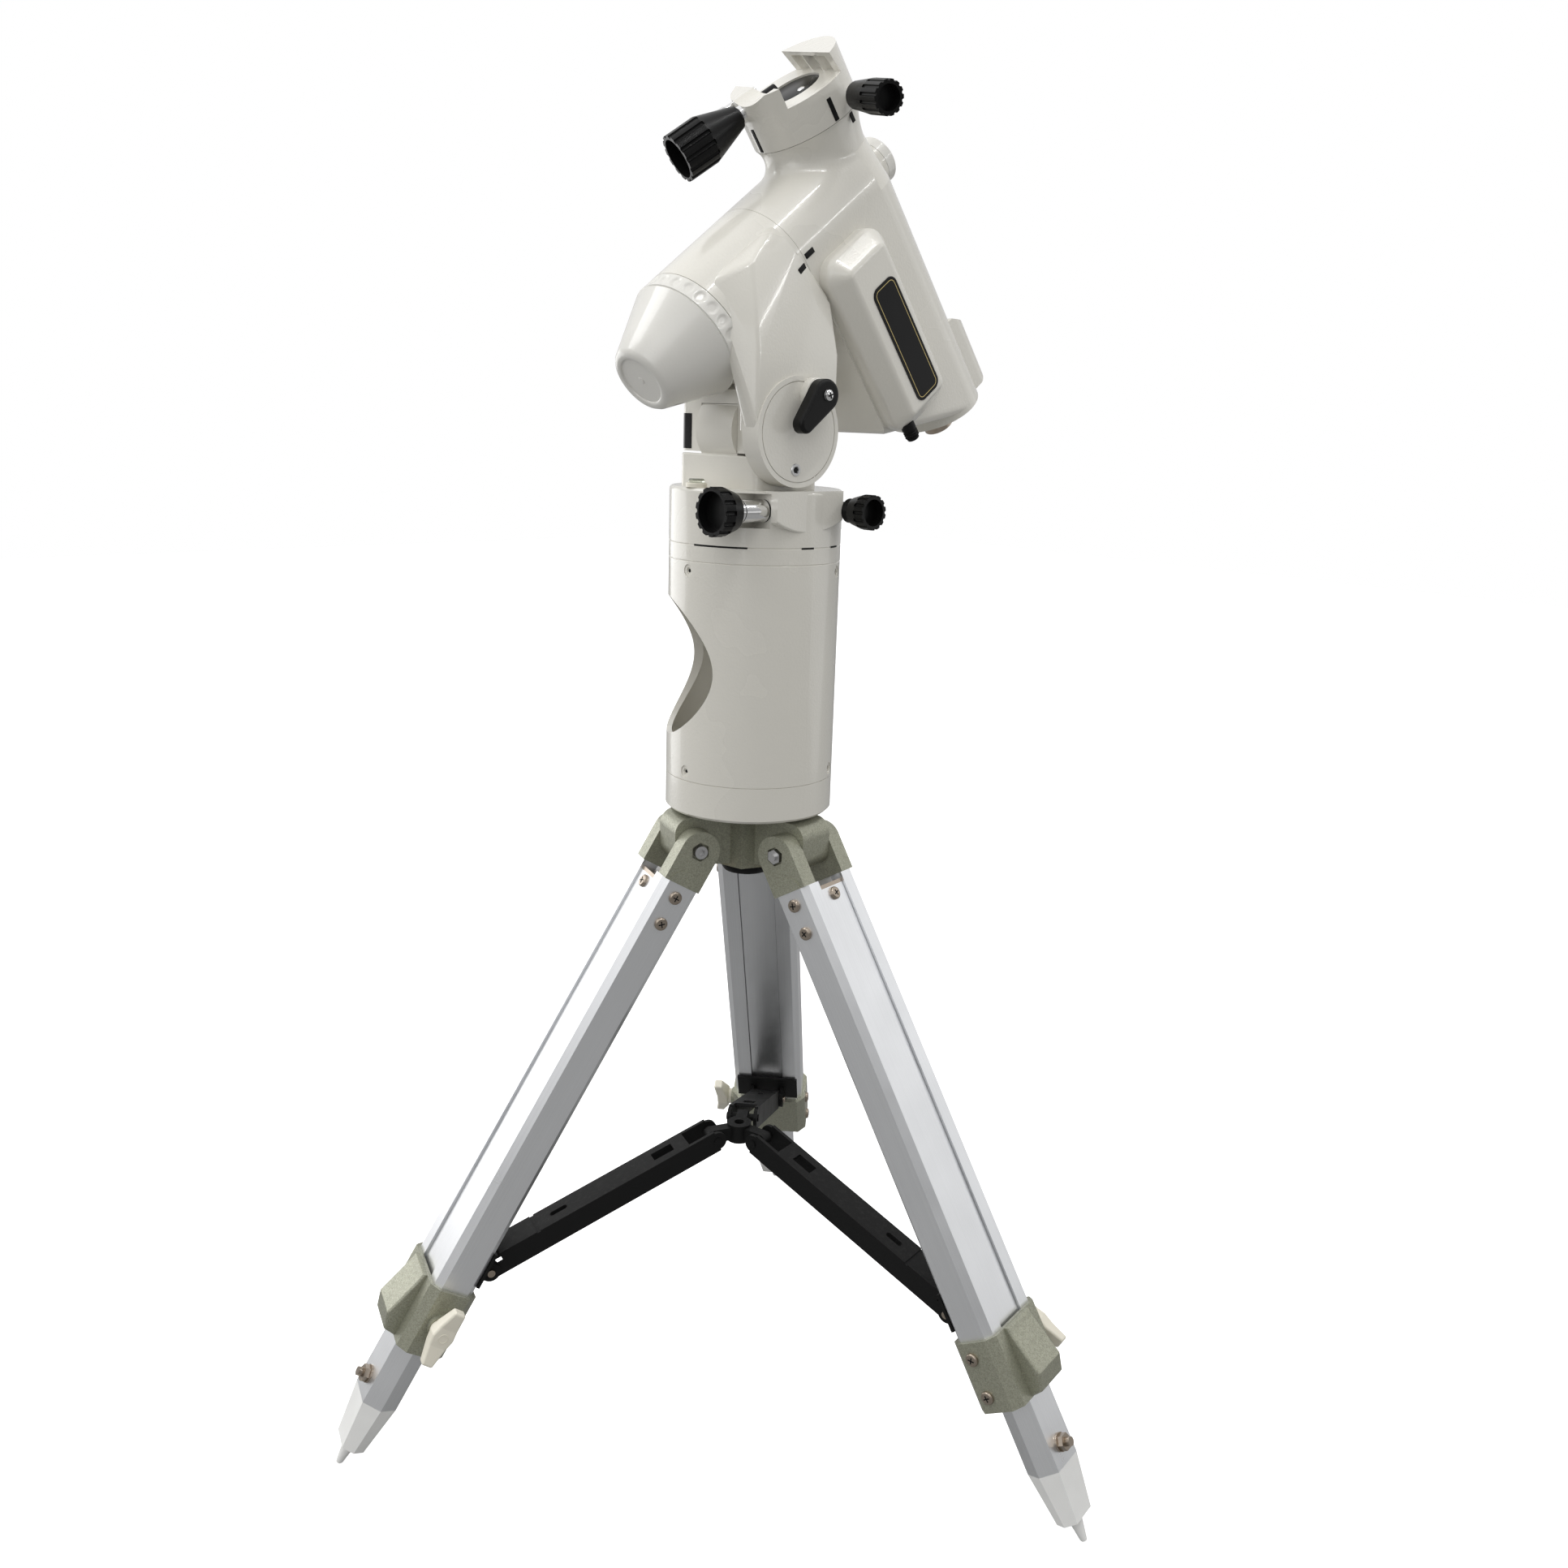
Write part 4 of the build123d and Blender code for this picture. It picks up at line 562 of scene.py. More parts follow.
@dataclass(frozen=True)
class ClearPlastic(Finish):
    """Clear plastic of the bubble level."""

    swing: Point = (0.0, 0.08)
    clear: float = 0.85
    bend: float = 1.46

    def dress(self, work: Surface) -> None:
        """Set transmission and a faint haze in the roughness.

        Args:
            work: The material being made.
        """
        work.fix("Transmission Weight", self.clear)
        work.fix("IOR", self.bend)
        self.roughen(work, work.effect(Effect.GRAIN)["Mottle"])


LEG_AZIMUTHS = (11.4, 131.4, 251.4)
LEG_SPREAD = math.radians(30.25)


def leg_direction(azimuth: float) -> Spot:
    """Give the unit vector down a leg of a bearing in degrees."""
    turn, out = math.radians(azimuth), math.sin(LEG_SPREAD)
    return (out * math.cos(turn), out * math.sin(turn), -math.cos(LEG_SPREAD))


def black(name: str, level: float, roughness: float, **values: float) -> Moulded:
    """Give a black plastic of an even level."""
    return Moulded(name, (level, level, level), roughness, **values)


IVORY_PAINT = SprayedPaint("ivory_paint_finish", (0.735, 0.715, 0.650), 0.25)
IVORY_CAP = SprayedPaint("ivory_cap_finish", (0.745, 0.732, 0.685), 0.36, peel=0.12)
FLOOR = FloorPaint("floor_finish", (0.90, 0.90, 0.895), 0.7, peel=0.0, dust=0.0, coat=0.0)
GREY_CASTING = CastPaint("grey_casting_finish", (0.33, 0.332, 0.26), 0.38, 0.5)
IVORY_PLASTIC = Moulded("ivory_plastic_finish", (0.84, 0.80, 0.68), 0.34, grain=0.05, dust=0.05)
WHITE_FOOT = Moulded("white_foot_finish", (0.88, 0.88, 0.86), 0.45, grain=0.08, dust=0.1)
BLACK_PLASTIC = black("black_plastic_finish", 0.009, 0.48, grain=0.25, dust=0.03, shine=0.15)
BLACK_KNOB = black("black_knob_finish", 0.005, 0.30, grain=0.08, dust=0.01, shine=0.2)
BLACK_GLOSS = black("black_gloss_finish", 0.004, 0.16, grain=0.02, dust=0.0, shine=0.2)
BRONZE_STEEL = DrawnMetal("bronze_steel_finish", (0.40, 0.34, 0.28), 0.28, 1.0, lines=0.05)
STEEL = DrawnMetal("steel_finish", (0.60, 0.60, 0.60), 0.30, 1.0)
BRASS = DrawnMetal("brass_finish", (0.70, 0.50, 0.20), 0.30, 1.0)
CHROME = DrawnMetal("chrome_finish", (0.82, 0.82, 0.82), 0.12, 1.0, lines=0.03)
RING_METAL = DrawnMetal("ring_metal_finish", (0.47, 0.40, 0.33), 0.30, 1.0)
GOLD_LINE = DrawnMetal("gold_line_finish", (0.62, 0.50, 0.22), 0.30, 1.0, lines=0.03)
CLEAR_LEVEL = ClearPlastic("clear_level_finish", (0.90, 0.93, 0.82), 0.06)
RAILS = tuple(
    DrawnMetal(f"rail_finish_{number}", (0.84, 0.85, 0.865), 0.33, 0.95,
               along=leg_direction(azimuth), lines=0.10)
    for number, azimuth in enumerate(LEG_AZIMUTHS, 1)
)

SLOT_FINISH: dict[Slot, Finish] = {
    Slot.IVORY_PAINT: IVORY_PAINT, Slot.IVORY_CAP: IVORY_CAP, Slot.IVORY_PLASTIC: IVORY_PLASTIC,
    Slot.WHITE_FOOT: WHITE_FOOT, Slot.GREY_CASTING: GREY_CASTING, Slot.STEEL: STEEL,
    Slot.BLACK_PLASTIC: BLACK_PLASTIC, Slot.BLACK_KNOB: BLACK_KNOB, Slot.BRASS: BRASS,
    Slot.BRONZE_STEEL: BRONZE_STEEL, Slot.CHROME: CHROME, Slot.RING_METAL: RING_METAL,
    Slot.LEVEL: CLEAR_LEVEL,
}
FINISH_SLOT: dict[Finish, Slot] = {finish: slot for slot, finish in SLOT_FINISH.items()}
FINISH_SLOT[BLACK_GLOSS] = Slot.BLACK_KNOB


class Dresser:
    """Puts a finish on every CAD node by its material slot."""

    def finish_for(self, node: str, slot: str) -> Finish:
        """Choose a node's finish by its slot, and for a rail by its leg's number."""
        return RAILS[int(node.split("_")[1]) - 1] if slot == Slot.RAIL else SLOT_FINISH[Slot(slot)]

    def build(self) -> None:
        """Assign materials to all CAD nodes."""
        slots = {entry["node"]: entry["material_slot"] for entry in frame["record"]["subparts"]}
        for node, thing in frame["nodes"].items():
            material = self.finish_for(node, slots[node]).material()
            for index in range(max(1, len(thing.material_slots))):
                if index >= len(thing.material_slots):
                    thing.data.materials.append(material)
                else:
                    thing.material_slots[index].material = material
        LOG.info("dressed %d nodes", len(frame["nodes"]))


def axes(origin: Sequence[float], x: Sequence[float], y: Sequence[float],
         z: Sequence[float]) -> Matrix:
    """Make the matrix to the world from a frame's origin and axes."""
    turn = Matrix((x, y, z)).transposed().to_4x4()
    return Matrix.Translation(Vector(origin)) @ turn


def shift(x: float, y: float, z: float) -> Matrix:
    """Give a move in millimetres."""
    return Matrix.Translation(Vector((x, y, z)))


def spin_about(angle: float, axis: str = "Z") -> Matrix:
    """Give a turn in degrees about a frame axis."""
    return Matrix.Rotation(math.radians(angle), 4, axis)


EAST = Vector((1.0, 0.0, 0.0))
NORTH = Vector((0.0, 1.0, 0.0))
UP = Vector((0.0, 0.0, 1.0))
POLAR = Vector((0.0, 0.791224, 0.611527))
DECLINATION = Vector((0.0, -0.611527, 0.791224))
CROSSING = Vector((0.0, 72.79, 954.96))
SADDLE_TURN = -18.0
GROUND = Matrix.Identity(4)
DEC_FRAME = axes(CROSSING, EAST, POLAR, DECLINATION)
RA_FRAME = axes(CROSSING, EAST, -DECLINATION, POLAR)
SADDLE_FRAME = DEC_FRAME @ spin_about(SADDLE_TURN)
GROOVE = SADDLE_FRAME.to_3x3() @ EAST
ACROSS = SADDLE_FRAME.to_3x3() @ NORTH


class Workshop:
    """Makes meshes in millimetres and hands them over as finished pieces."""

    EDGE_STEPS = 3
    SLOT_ROUND = 0.1
    SOCKET_SIDES = 6
    SOCKET_FLAT = 0.9
    DOUBLE = 0.001

    @staticmethod
    def lathe(profile: Iterable[Point], place: Matrix, steps: int = LATHE_STEPS,
              sweep: float = FULL_TURN) -> Shape:
        """Turn a profile of (radius, height) points about the frame's third axis.

        Args:
            profile: Points of the outline.
            place: Frame of the piece.
            steps: Steps of the turn.
            sweep: Angle of the turn in degrees.

        Returns:
            The turned shape.
        """
        shape = bmesh.new()
        points = [shape.verts.new((radius, 0.0, height)) for radius, height in profile]
        edges = [shape.edges.new(pair) for pair in zip(points, points[1:])]
        bmesh.ops.spin(shape, geom=points + edges, axis=(0, 0, 1), cent=(0, 0, 0), steps=steps,
                       angle=math.radians(sweep), use_merge=sweep >= FULL_TURN)
        bmesh.ops.transform(shape, matrix=place, verts=shape.verts)
        return shape

    @classmethod
    def bar(cls, size: Sequence[float], round_by: float, place: Matrix) -> Shape:
        """Make a bar with rounded edges, centred in its frame.

        Args:
            size: Length of each side.
            round_by: Edge radius.
            place: Frame of the piece.

        Returns:
            The bar.
        """
        shape = bmesh.new()
        bmesh.ops.create_cube(shape, size=1.0)
        bmesh.ops.scale(shape, vec=Vector(size), verts=shape.verts)
        cls.soften(shape, shape.edges, round_by)
        bmesh.ops.transform(shape, matrix=place, verts=shape.verts)
        return shape

    @classmethod
    def soften(cls, shape: Shape, edges: Iterable[Any], round_by: float) -> None:
        """Round some edges of a shape."""
        bmesh.ops.bevel(shape, geom=edges, offset=round_by, segments=cls.EDGE_STEPS, profile=0.5,
                        affect="EDGES", material=-1)

    @staticmethod
    def points_of(items: Iterable[Any]) -> list[bmesh.types.BMVert]:
        """Give the vertices among some mesh elements."""
        return [item for item in items if isinstance(item, bmesh.types.BMVert)]

    @classmethod
    def cross(cls, size: Spot, place: Matrix, turn: float) -> list[Shape]:
        """Make two dark bars, painted shade in a screw's cross slot, the first at a turn in
        degrees.
        """
        return [cls.bar(size, cls.SLOT_ROUND, place @ spin_about(angle))
                for angle in (turn, turn + RIGHT_ANGLE)]

    @classmethod
    def socket(cls, radius: float, height: float, place: Matrix) -> Shape:
        """Make a dark six-sided cone, painted shade in the hole of a socket screw."""
        outline = [(0.0, height), (radius * cls.SOCKET_FLAT, height), (radius, 0.0)]
        return cls.lathe(outline, place, steps=cls.SOCKET_SIDES)

    @staticmethod
    def merge(shapes: Iterable[Shape]) -> Shape:
        """Put several shapes in one.

        Args:
            shapes: Shapes, which are used up.

        Returns:
            The joined shape.
        """
        whole = bmesh.new()
        for shape in shapes:
            mesh = bpy.data.meshes.new("part_of_piece")
            shape.to_mesh(mesh)
            shape.free()
            whole.from_mesh(mesh)
            bpy.data.meshes.remove(mesh)
        return whole

    @classmethod
    def hand_over(cls, name: str, shape: Shape, body: str, *finishes: Finish,
                  sharp: float = 32.0) -> bpy.types.Object:
        """Turn a shape into a finished piece that rides on a body.

        Args:
            name: Piece name.
            shape: The shape in millimetres, which is used up.
            body: Body that it moves with.
            finishes: Finishes in the order of the faces' material numbers.
            sharp: Angle above which an edge stays sharp, in degrees.

        Returns:
            The piece.
        """
        bmesh.ops.remove_doubles(shape, verts=shape.verts, dist=cls.DOUBLE)
        bmesh.ops.recalc_face_normals(shape, faces=shape.faces)
        closed = all(edge.is_manifold for edge in shape.edges)
        if closed and shape.calc_volume(signed=True) < 0.0:
            bmesh.ops.reverse_faces(shape, faces=shape.faces)
        bmesh.ops.scale(shape, vec=(MM, MM, MM), verts=shape.verts)
        mesh = bpy.data.meshes.new(name)
        shape.to_mesh(mesh)
        shape.free()
        for finish in finishes:
            mesh.materials.append(finish.material())
        mesh.shade_smooth()
        mesh.set_sharp_from_angle(angle=math.radians(sharp))
        thing = bpy.data.objects.new(name, mesh)
        bpy.context.collection.objects.link(thing)
        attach(thing, body)
        LOG.info("piece %s", name)
        return thing

    @classmethod
    def turn(cls, name: str, outline: Iterable[Point], place: Matrix, body: str, finish: Finish,
             steps: int = LATHE_STEPS, sweep: float = FULL_TURN) -> None:
        """Turn an outline on the lathe and hand it over as a piece."""
        cls.hand_over(name, cls.lathe(outline, place, steps, sweep), body, finish)


@dataclass
class ScopeCap:
    """Conical pull-off cap of the polar scope with a dimpled grip band.

    The end's outline gives radius and height above the end, from its middle outwards.
    """

    seam: float = -167.9
    band: float = -181.0
    end: float = -228.0
    radius: float = 44.0
    wall: float = 2.5
    end_outline: Outline = ((0.0, 0.7), (2.2, 0.7), (2.6, 1.2), (17.1, 1.2), (17.5, 0.3),
                            (18.0, 0.0), (20.5, 0.0), (22.8, 1.0), (24.7, 3.2))
    cone_top: Point = (0.6, 0.8)
    cone_parts: tuple[float, ...] = (0.33, 0.66, 1.0)
    groove: Point = (0.9, 0.2)
    band_edge: float = 0.3
    mouth_round: float = 0.4
    rows: int = 10
    dimples: int = 26
    dimple_steps: int = 12
    dimple_depth: float = 1.0
    dimple_share: float = 0.36
    dimple_steep: float = 2.2
    skin: float = 0.05
    sharp: float = 40.0

    def profile(self) -> list[Point]:
        """Give the outline from the end's middle to the mouth.

        Returns:
            Points of radius and height along the polar axis.
        """
        points = [(radius, self.end + rise) for radius, rise in self.end_outline]
        wide, high = self.radius - self.cone_top[0], self.band - self.cone_top[1]
        slope = (wide - points[-1][0]) / (high - points[-1][1])
        for part in self.cone_parts:
            rise = (high - points[-1][1]) * part
            points.append((points[-1][0] + slope * rise, points[-1][1] + rise))
        points.append((self.radius - self.groove[0], self.band - self.groove[1]))
        step = (self.seam - self.band - 2 * self.band_edge) / self.rows
        points += [(self.radius, self.band + self.band_edge + step * row)
                   for row in range(self.rows + 1)]
        inner = self.radius - self.wall
        return points + [(self.radius - self.mouth_round, self.seam), (inner, self.seam),
                         (inner, self.band)]

    def press_dimples(self, shape: Shape) -> None:
        """Press the row of oval finger dimples into the band.

        Args:
            shape: The turned cap in its own frame.
        """
        middle = (self.seam + self.band) / 2
        half = (self.seam - self.band) * self.dimple_share
        for point in shape.verts:
            reach = math.hypot(point.co.x, point.co.y)
            if abs(reach - self.radius) > self.skin:
                continue
            turn = math.atan2(point.co.y, point.co.x) / math.tau * self.dimples
            across = (turn - round(turn)) / self.dimple_share
            along = (point.co.z - middle) / half
            press = max(0.0, 1.0 - across ** 2 - along ** 2)
            depth = self.dimple_depth * min(1.0, press * self.dimple_steep)
            point.co.xy *= 1.0 - depth / self.radius

    def build(self) -> None:
        """Make the cap."""
        shape = Workshop.lathe(self.profile(), GROUND, steps=self.dimples * self.dimple_steps)
        self.press_dimples(shape)
        bmesh.ops.transform(shape, matrix=RA_FRAME, verts=shape.verts)
        cap = Workshop.hand_over("scope_cap", shape, Body.SCOPE_CAP.value, IVORY_CAP,
                                 sharp=self.sharp)
        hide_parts("polar_scope_cap")


@dataclass
class ControlLabel:
    """Blank black name plate with a thin gold line on the control box."""

    place: Spot = (64.9, -53.0, -88.0)
    width: float = 26.0
    length: float = 93.0
    corner: float = 6.5
    corner_steps: int = 8
    thick: float = 0.8
    margin: float = 2.2
    line: float = 0.5

    def build(self) -> None:
        """Make the plate with its line."""
        shape = bmesh.new()
        bmesh.ops.create_grid(shape, x_segments=1, y_segments=1, size=0.5)
        bmesh.ops.scale(shape, vec=(self.width, self.length, 1.0), verts=shape.verts)
        bmesh.ops.bevel(shape, geom=shape.verts, offset=self.corner, segments=self.corner_steps,
                        profile=0.5, affect="VERTICES", material=-1)
        raised = bmesh.ops.extrude_face_region(shape, geom=shape.faces[:])
        bmesh.ops.translate(shape, vec=(0, 0, self.thick),
                            verts=Workshop.points_of(raised["geom"]))
        top = [face for face in shape.faces
               if face.normal.z > 0.5 and face.calc_center_median().z > self.thick / 2]
        bmesh.ops.inset_region(shape, faces=top, thickness=self.margin, depth=0.0)
        ring = bmesh.ops.inset_region(shape, faces=top, thickness=self.line, depth=0.0)
        for face in ring["faces"]:
            face.material_index = 1
        place = DEC_FRAME @ axes(self.place, NORTH, UP, EAST)
        bmesh.ops.transform(shape, matrix=place, verts=shape.verts)
        Workshop.hand_over("control_label", shape, Body.DECLINATION.value, BLACK_GLOSS, GOLD_LINE)


@dataclass(frozen=True)
class Mark:
    """One index mark on a round surface, with the surface's slope along its axis in degrees."""

    name: str
    place: Matrix
    radius: float
    bearing: float
    span: Point
    width: float
    body: Body
    lean: float = 0.0


@dataclass
class IndexMarks:
    """Black index marks beside the seams of both axes."""

    proud: float = 0.5
    round_by: float = 0.45
    marks: tuple[Mark, ...] = (
        Mark("polar_mark_upper", RA_FRAME, 44.0, -4.0, (-88.5, -79.0), 4.0, Body.DECLINATION),
        Mark("polar_mark_lower", RA_FRAME, 45.6, 1.0, (-101.0, -92.6), 4.0, Body.POLAR_HOUSING,
             lean=-10.0),
        Mark("drum_mark_east", DEC_FRAME, 41.0, -12.0, (58.0, 74.0), 3.6, Body.SADDLE),
        Mark("drum_mark_south", DEC_FRAME, 41.0, -103.0, (58.0, 75.0), 3.6, Body.SADDLE),
        Mark("neck_mark", DEC_FRAME, 40.1, 8.0, (49.0, 56.4), 3.6, Body.DECLINATION),
    )

    def build(self) -> None:
        """Make all marks."""
        for mark in self.marks:
            low, high = mark.span
            spot = mark.place @ spin_about(mark.bearing) @ shift(mark.radius, 0.0, (low + high) / 2)
            size = (self.proud * 2, mark.width, high - low)
            shape = Workshop.bar(size, self.round_by, spot @ spin_about(mark.lean, "Y"))
            Workshop.hand_over(mark.name, shape, mark.body.value, BLACK_PLASTIC)


@dataclass
class EarCheek:
    """Smooth cheek of the polar housing that runs from the barrel's side down to the east ear."""

    face: float = 59.4
    inner: float = 46.0
    front: float = -53.0
    back: float = 21.9
    low: float = 786.0
    top: float = 838.5
    fade: tuple[Spot, ...] = ((49.9, 21.9, 874.2), (44.6, 5.0, 895.6), (44.6, -48.4, 895.6))
    barrel_radius: float = 44.05
    barrel_span: Point = (-160.0, -92.4)
    bearings: Point = (-48.0, 52.0)
    bearing_steps: int = 20
    flat: float = 1.0
    bevel_above: float = 24.0
    round_by: float = 2.5
    sharp: float = 40.0

    def corners(self) -> list[Vector]:
        """Give the points that the cheek wraps.

        Returns:
            Points of the plate and of the barrel's side.
        """
        points = [Vector(spot) for spot in self.fade]
        for across in (self.inner, self.face):
            for side in (self.front, self.back):
                points += [Vector((across, side, self.low)), Vector((across, side, self.top))]
        start, end = (math.radians(bearing) for bearing in self.bearings)
        for along in self.barrel_span:
            for step in range(self.bearing_steps + 1):
                turn = start + (end - start) * step / self.bearing_steps
                spot = Vector((math.cos(turn), math.sin(turn), 0.0)) * self.barrel_radius
                points.append(RA_FRAME @ (spot + Vector((0.0, 0.0, along))))
        return points

    def build(self) -> None:
        """Wrap the points and round the edges."""
        shape = bmesh.new()
        for point in self.corners():
            shape.verts.new(point)
        wrapped = bmesh.ops.convex_hull(shape, input=shape.verts)
        spare = Workshop.points_of(wrapped["geom_interior"])
        bmesh.ops.delete(shape, geom=spare, context="VERTS")
        bmesh.ops.dissolve_limit(shape, angle_limit=math.radians(self.flat), verts=shape.verts,
                                 edges=shape.edges)
        bmesh.ops.recalc_face_normals(shape, faces=shape.faces)
        edges = [edge for edge in shape.edges
                 if edge.is_manifold and math.degrees(edge.calc_face_angle()) > self.bevel_above]
        Workshop.soften(shape, edges, self.round_by)
        Workshop.hand_over("ear_cheek", shape, Body.POLAR_HOUSING.value, IVORY_PAINT,
                           sharp=self.sharp)


@dataclass
class EarTrim:
    """Seat and screw of the altitude lever, and the socket screw of the east ear, with dark pieces
    painted as the shade in their slot and socket.
    """

    lever_place: Spot = (61.0, -3.8, 811.0)
    ear_place: Spot = (61.0, -17.6, 759.7)
    seat: Outline = ((9.3, 0.0), (12.0, 0.0), (12.0, 5.4), (11.6, 6.2), (10.8, 6.6), (9.3, 6.6),
                     (9.3, 0.0))
    lever_top: float = 16.0
    screw: Outline = ((0.0, 2.4), (2.1, 2.232), (3.57, 1.488), (4.2, 0.48), (4.2, 0.0))
    slot: Spot = (4.62, 1.0, 0.5)
    slot_turn: float = 20.0
    ear_screw: Outline = ((0.0, 0.15), (2.42, 0.2), (2.64, 0.7), (3.96, 0.7), (4.4, 0.1))
    socket: float = 2.6
    socket_shade_depth: float = 0.3
    steps: int = 40

    def build(self) -> None:
        """Make all fittings of the ear."""
        ear, lever = Body.POLAR_HOUSING.value, Body.LEVER.value
        place = axes(self.lever_place, NORTH, UP, EAST)
        Workshop.turn("lever_seat", self.seat, place, ear, IVORY_PAINT)
        place = place @ shift(0, 0, self.lever_top)
        Workshop.turn("lever_screw", self.screw, place, lever, CHROME, self.steps)
        # dark bars: painted shade in the lever screw's slot
        arms = Workshop.cross(self.slot, place @ shift(0, 0, self.screw[0][1]), self.slot_turn)
        Workshop.hand_over("lever_screw_slots", Workshop.merge(arms), lever, BLACK_PLASTIC)
        place = axes(self.ear_place, NORTH, UP, EAST)
        Workshop.turn("ear_socket_screw", self.ear_screw, place, ear, STEEL, self.steps)
        # dark cone: painted shade in the ear screw's socket
        hole = Workshop.socket(self.socket, self.socket_shade_depth, place)
        Workshop.hand_over("ear_socket_shade", hole, ear, BLACK_PLASTIC)


@dataclass
class ScaleWindow:
    """Dark altitude scale window that wraps round the fork's front west corner."""

    front: float = -37.0
    half: float = 44.0
    corner: float = 6.0
    inner: float = -31.0
    low: float = 771.0
    high: float = 796.0
    proud: float = 0.3
    wrap: float = 75.0
    steps: int = 10

    def build(self) -> None:
        """Make the window's strip."""
        shape = bmesh.new()
        centre = (self.corner - self.half, self.front + self.corner, 0.0)
        start = shape.verts.new((centre[0], self.front - self.proud, self.low))
        bmesh.ops.spin(shape, geom=[start], axis=(0, 0, -1), cent=centre, steps=self.steps,
                       angle=math.radians(self.wrap))
        end = shape.verts.new((self.inner, self.front - self.proud, self.low))
        shape.edges.new((end, start))
        strip = bmesh.ops.extrude_edge_only(shape, edges=shape.edges[:])
        bmesh.ops.translate(shape, vec=(0, 0, self.high - self.low),
                            verts=Workshop.points_of(strip["geom"]))
        bmesh.ops.solidify(shape, geom=shape.faces[:], thickness=self.proud)
        Workshop.hand_over("altitude_scale_window", shape, Body.POLAR_HOUSING.value, BLACK_GLOSS)


@dataclass
class LevelTrim:
    """Mount ring and bubble of the round level."""

    place: Spot = (0.0, -57.0, 745.0)
    ring: Outline = ((6.1, 0.0), (7.6, 0.0), (7.6, 2.6), (7.0, 3.2), (6.1, 3.2), (6.1, 0.0))
    bubble: float = 1.7
    bubble_place: Spot = (1.0, 0.6, 5.2)
    bubble_flat: float = 0.35
    bubble_steps: int = 12

    def build(self) -> None:
        """Make the ring and the bubble."""
        spot = axes(self.place, EAST, NORTH, UP)
        Workshop.turn("level_ring", self.ring, spot, Body.BASE.value, IVORY_PLASTIC)
        dome = bmesh.new()
        bmesh.ops.create_uvsphere(dome, u_segments=self.bubble_steps * 2,
                                  v_segments=self.bubble_steps, radius=self.bubble)
        bmesh.ops.scale(dome, vec=(1.0, 1.0, self.bubble_flat), verts=dome.verts)
        bmesh.ops.transform(dome, matrix=spot @ shift(*self.bubble_place), verts=dome.verts)
        Workshop.hand_over("level_bubble", dome, Body.BASE.value, CLEAR_LEVEL)


@dataclass
class KnobTrim:
    """Bright shafts and collars between the black knobs and the castings."""

    altitude_place: Spot = (47.0, 0.0, 731.0)
    altitude_radius: float = 8.12
    altitude_span: Point = (35.0, 63.9)
    clamp_height: float = 86.5
    clamp_radius: float = 6.2
    clamp_span: Point = (40.2, 45.4)
    lock_place: Point = (24.0, 65.0)
    lock_radius: float = 4.6
    lock_span: Point = (32.5, 43.2)
    chamfer: Point = (0.3, 0.4)
    groove_share: float = 0.25
    groove: Point = (0.4, 0.5)
    steps: int = 48

    def sleeve(self, name: str, place: Matrix, radius: float, span: Point, body: Body) -> None:
        """Make one bright sleeve with a turned groove.

        Args:
            name: Piece name.
            place: Frame along the shaft.
            radius: Outer radius.
            span: Start and end along the shaft.
            body: Body that it rides on.
        """
        low, high = span
        middle = high - (high - low) * self.groove_share
        narrow, (deep, half) = radius - self.chamfer[0], self.groove
        outline = [(0.0, low), (narrow, low), (radius, low + self.chamfer[1]),
                   (radius, middle - half), (radius - deep, middle), (radius, middle + half),
                   (radius, high - self.chamfer[1]), (narrow, high), (0.0, high)]
        Workshop.turn(name, outline, place, body.value, CHROME, self.steps)

    def build(self) -> None:
        """Make the three sleeves."""
        south = axes(self.altitude_place, EAST, UP, -NORTH)
        self.sleeve("altitude_knob_shaft", south, self.altitude_radius, self.altitude_span,
                    Body.ALTITUDE_KNOB)
        clamp = axes(CROSSING + DECLINATION * self.clamp_height, GROOVE, DECLINATION, -ACROSS)
        self.sleeve("saddle_clamp_shaft", clamp, self.clamp_radius, self.clamp_span,
                    Body.CLAMP_KNOB)
        spot = CROSSING + ACROSS * self.lock_place[0] + DECLINATION * self.lock_place[1]
        lock = axes(spot, DECLINATION, -ACROSS, GROOVE)
        self.sleeve("declination_lock_shaft", lock, self.lock_radius, self.lock_span,
                    Body.DEC_KNOB)


@dataclass
class GroovePlate:
    """Black pressure plate in the floor of the dovetail groove, with its screw."""

    plate: Outline = ((0.0, 80.5), (19.3, 80.5), (20.1, 80.15), (21.3, 80.15), (21.3, 79.5))
    screw: Outline = ((0.0, 81.3), (2.24, 81.1), (3.2, 80.4))
    screw_place: Spot = (9.0, 3.0, 0.0)
    screw_steps: int = 32

    def build(self) -> None:
        """Make the plate and its screw."""
        saddle = Body.SADDLE.value
        Workshop.turn("groove_plate", self.plate, SADDLE_FRAME, saddle, BLACK_KNOB)
        Workshop.turn("groove_plate_screw", self.screw, SADDLE_FRAME @ shift(*self.screw_place),
                      saddle, CHROME, self.screw_steps)


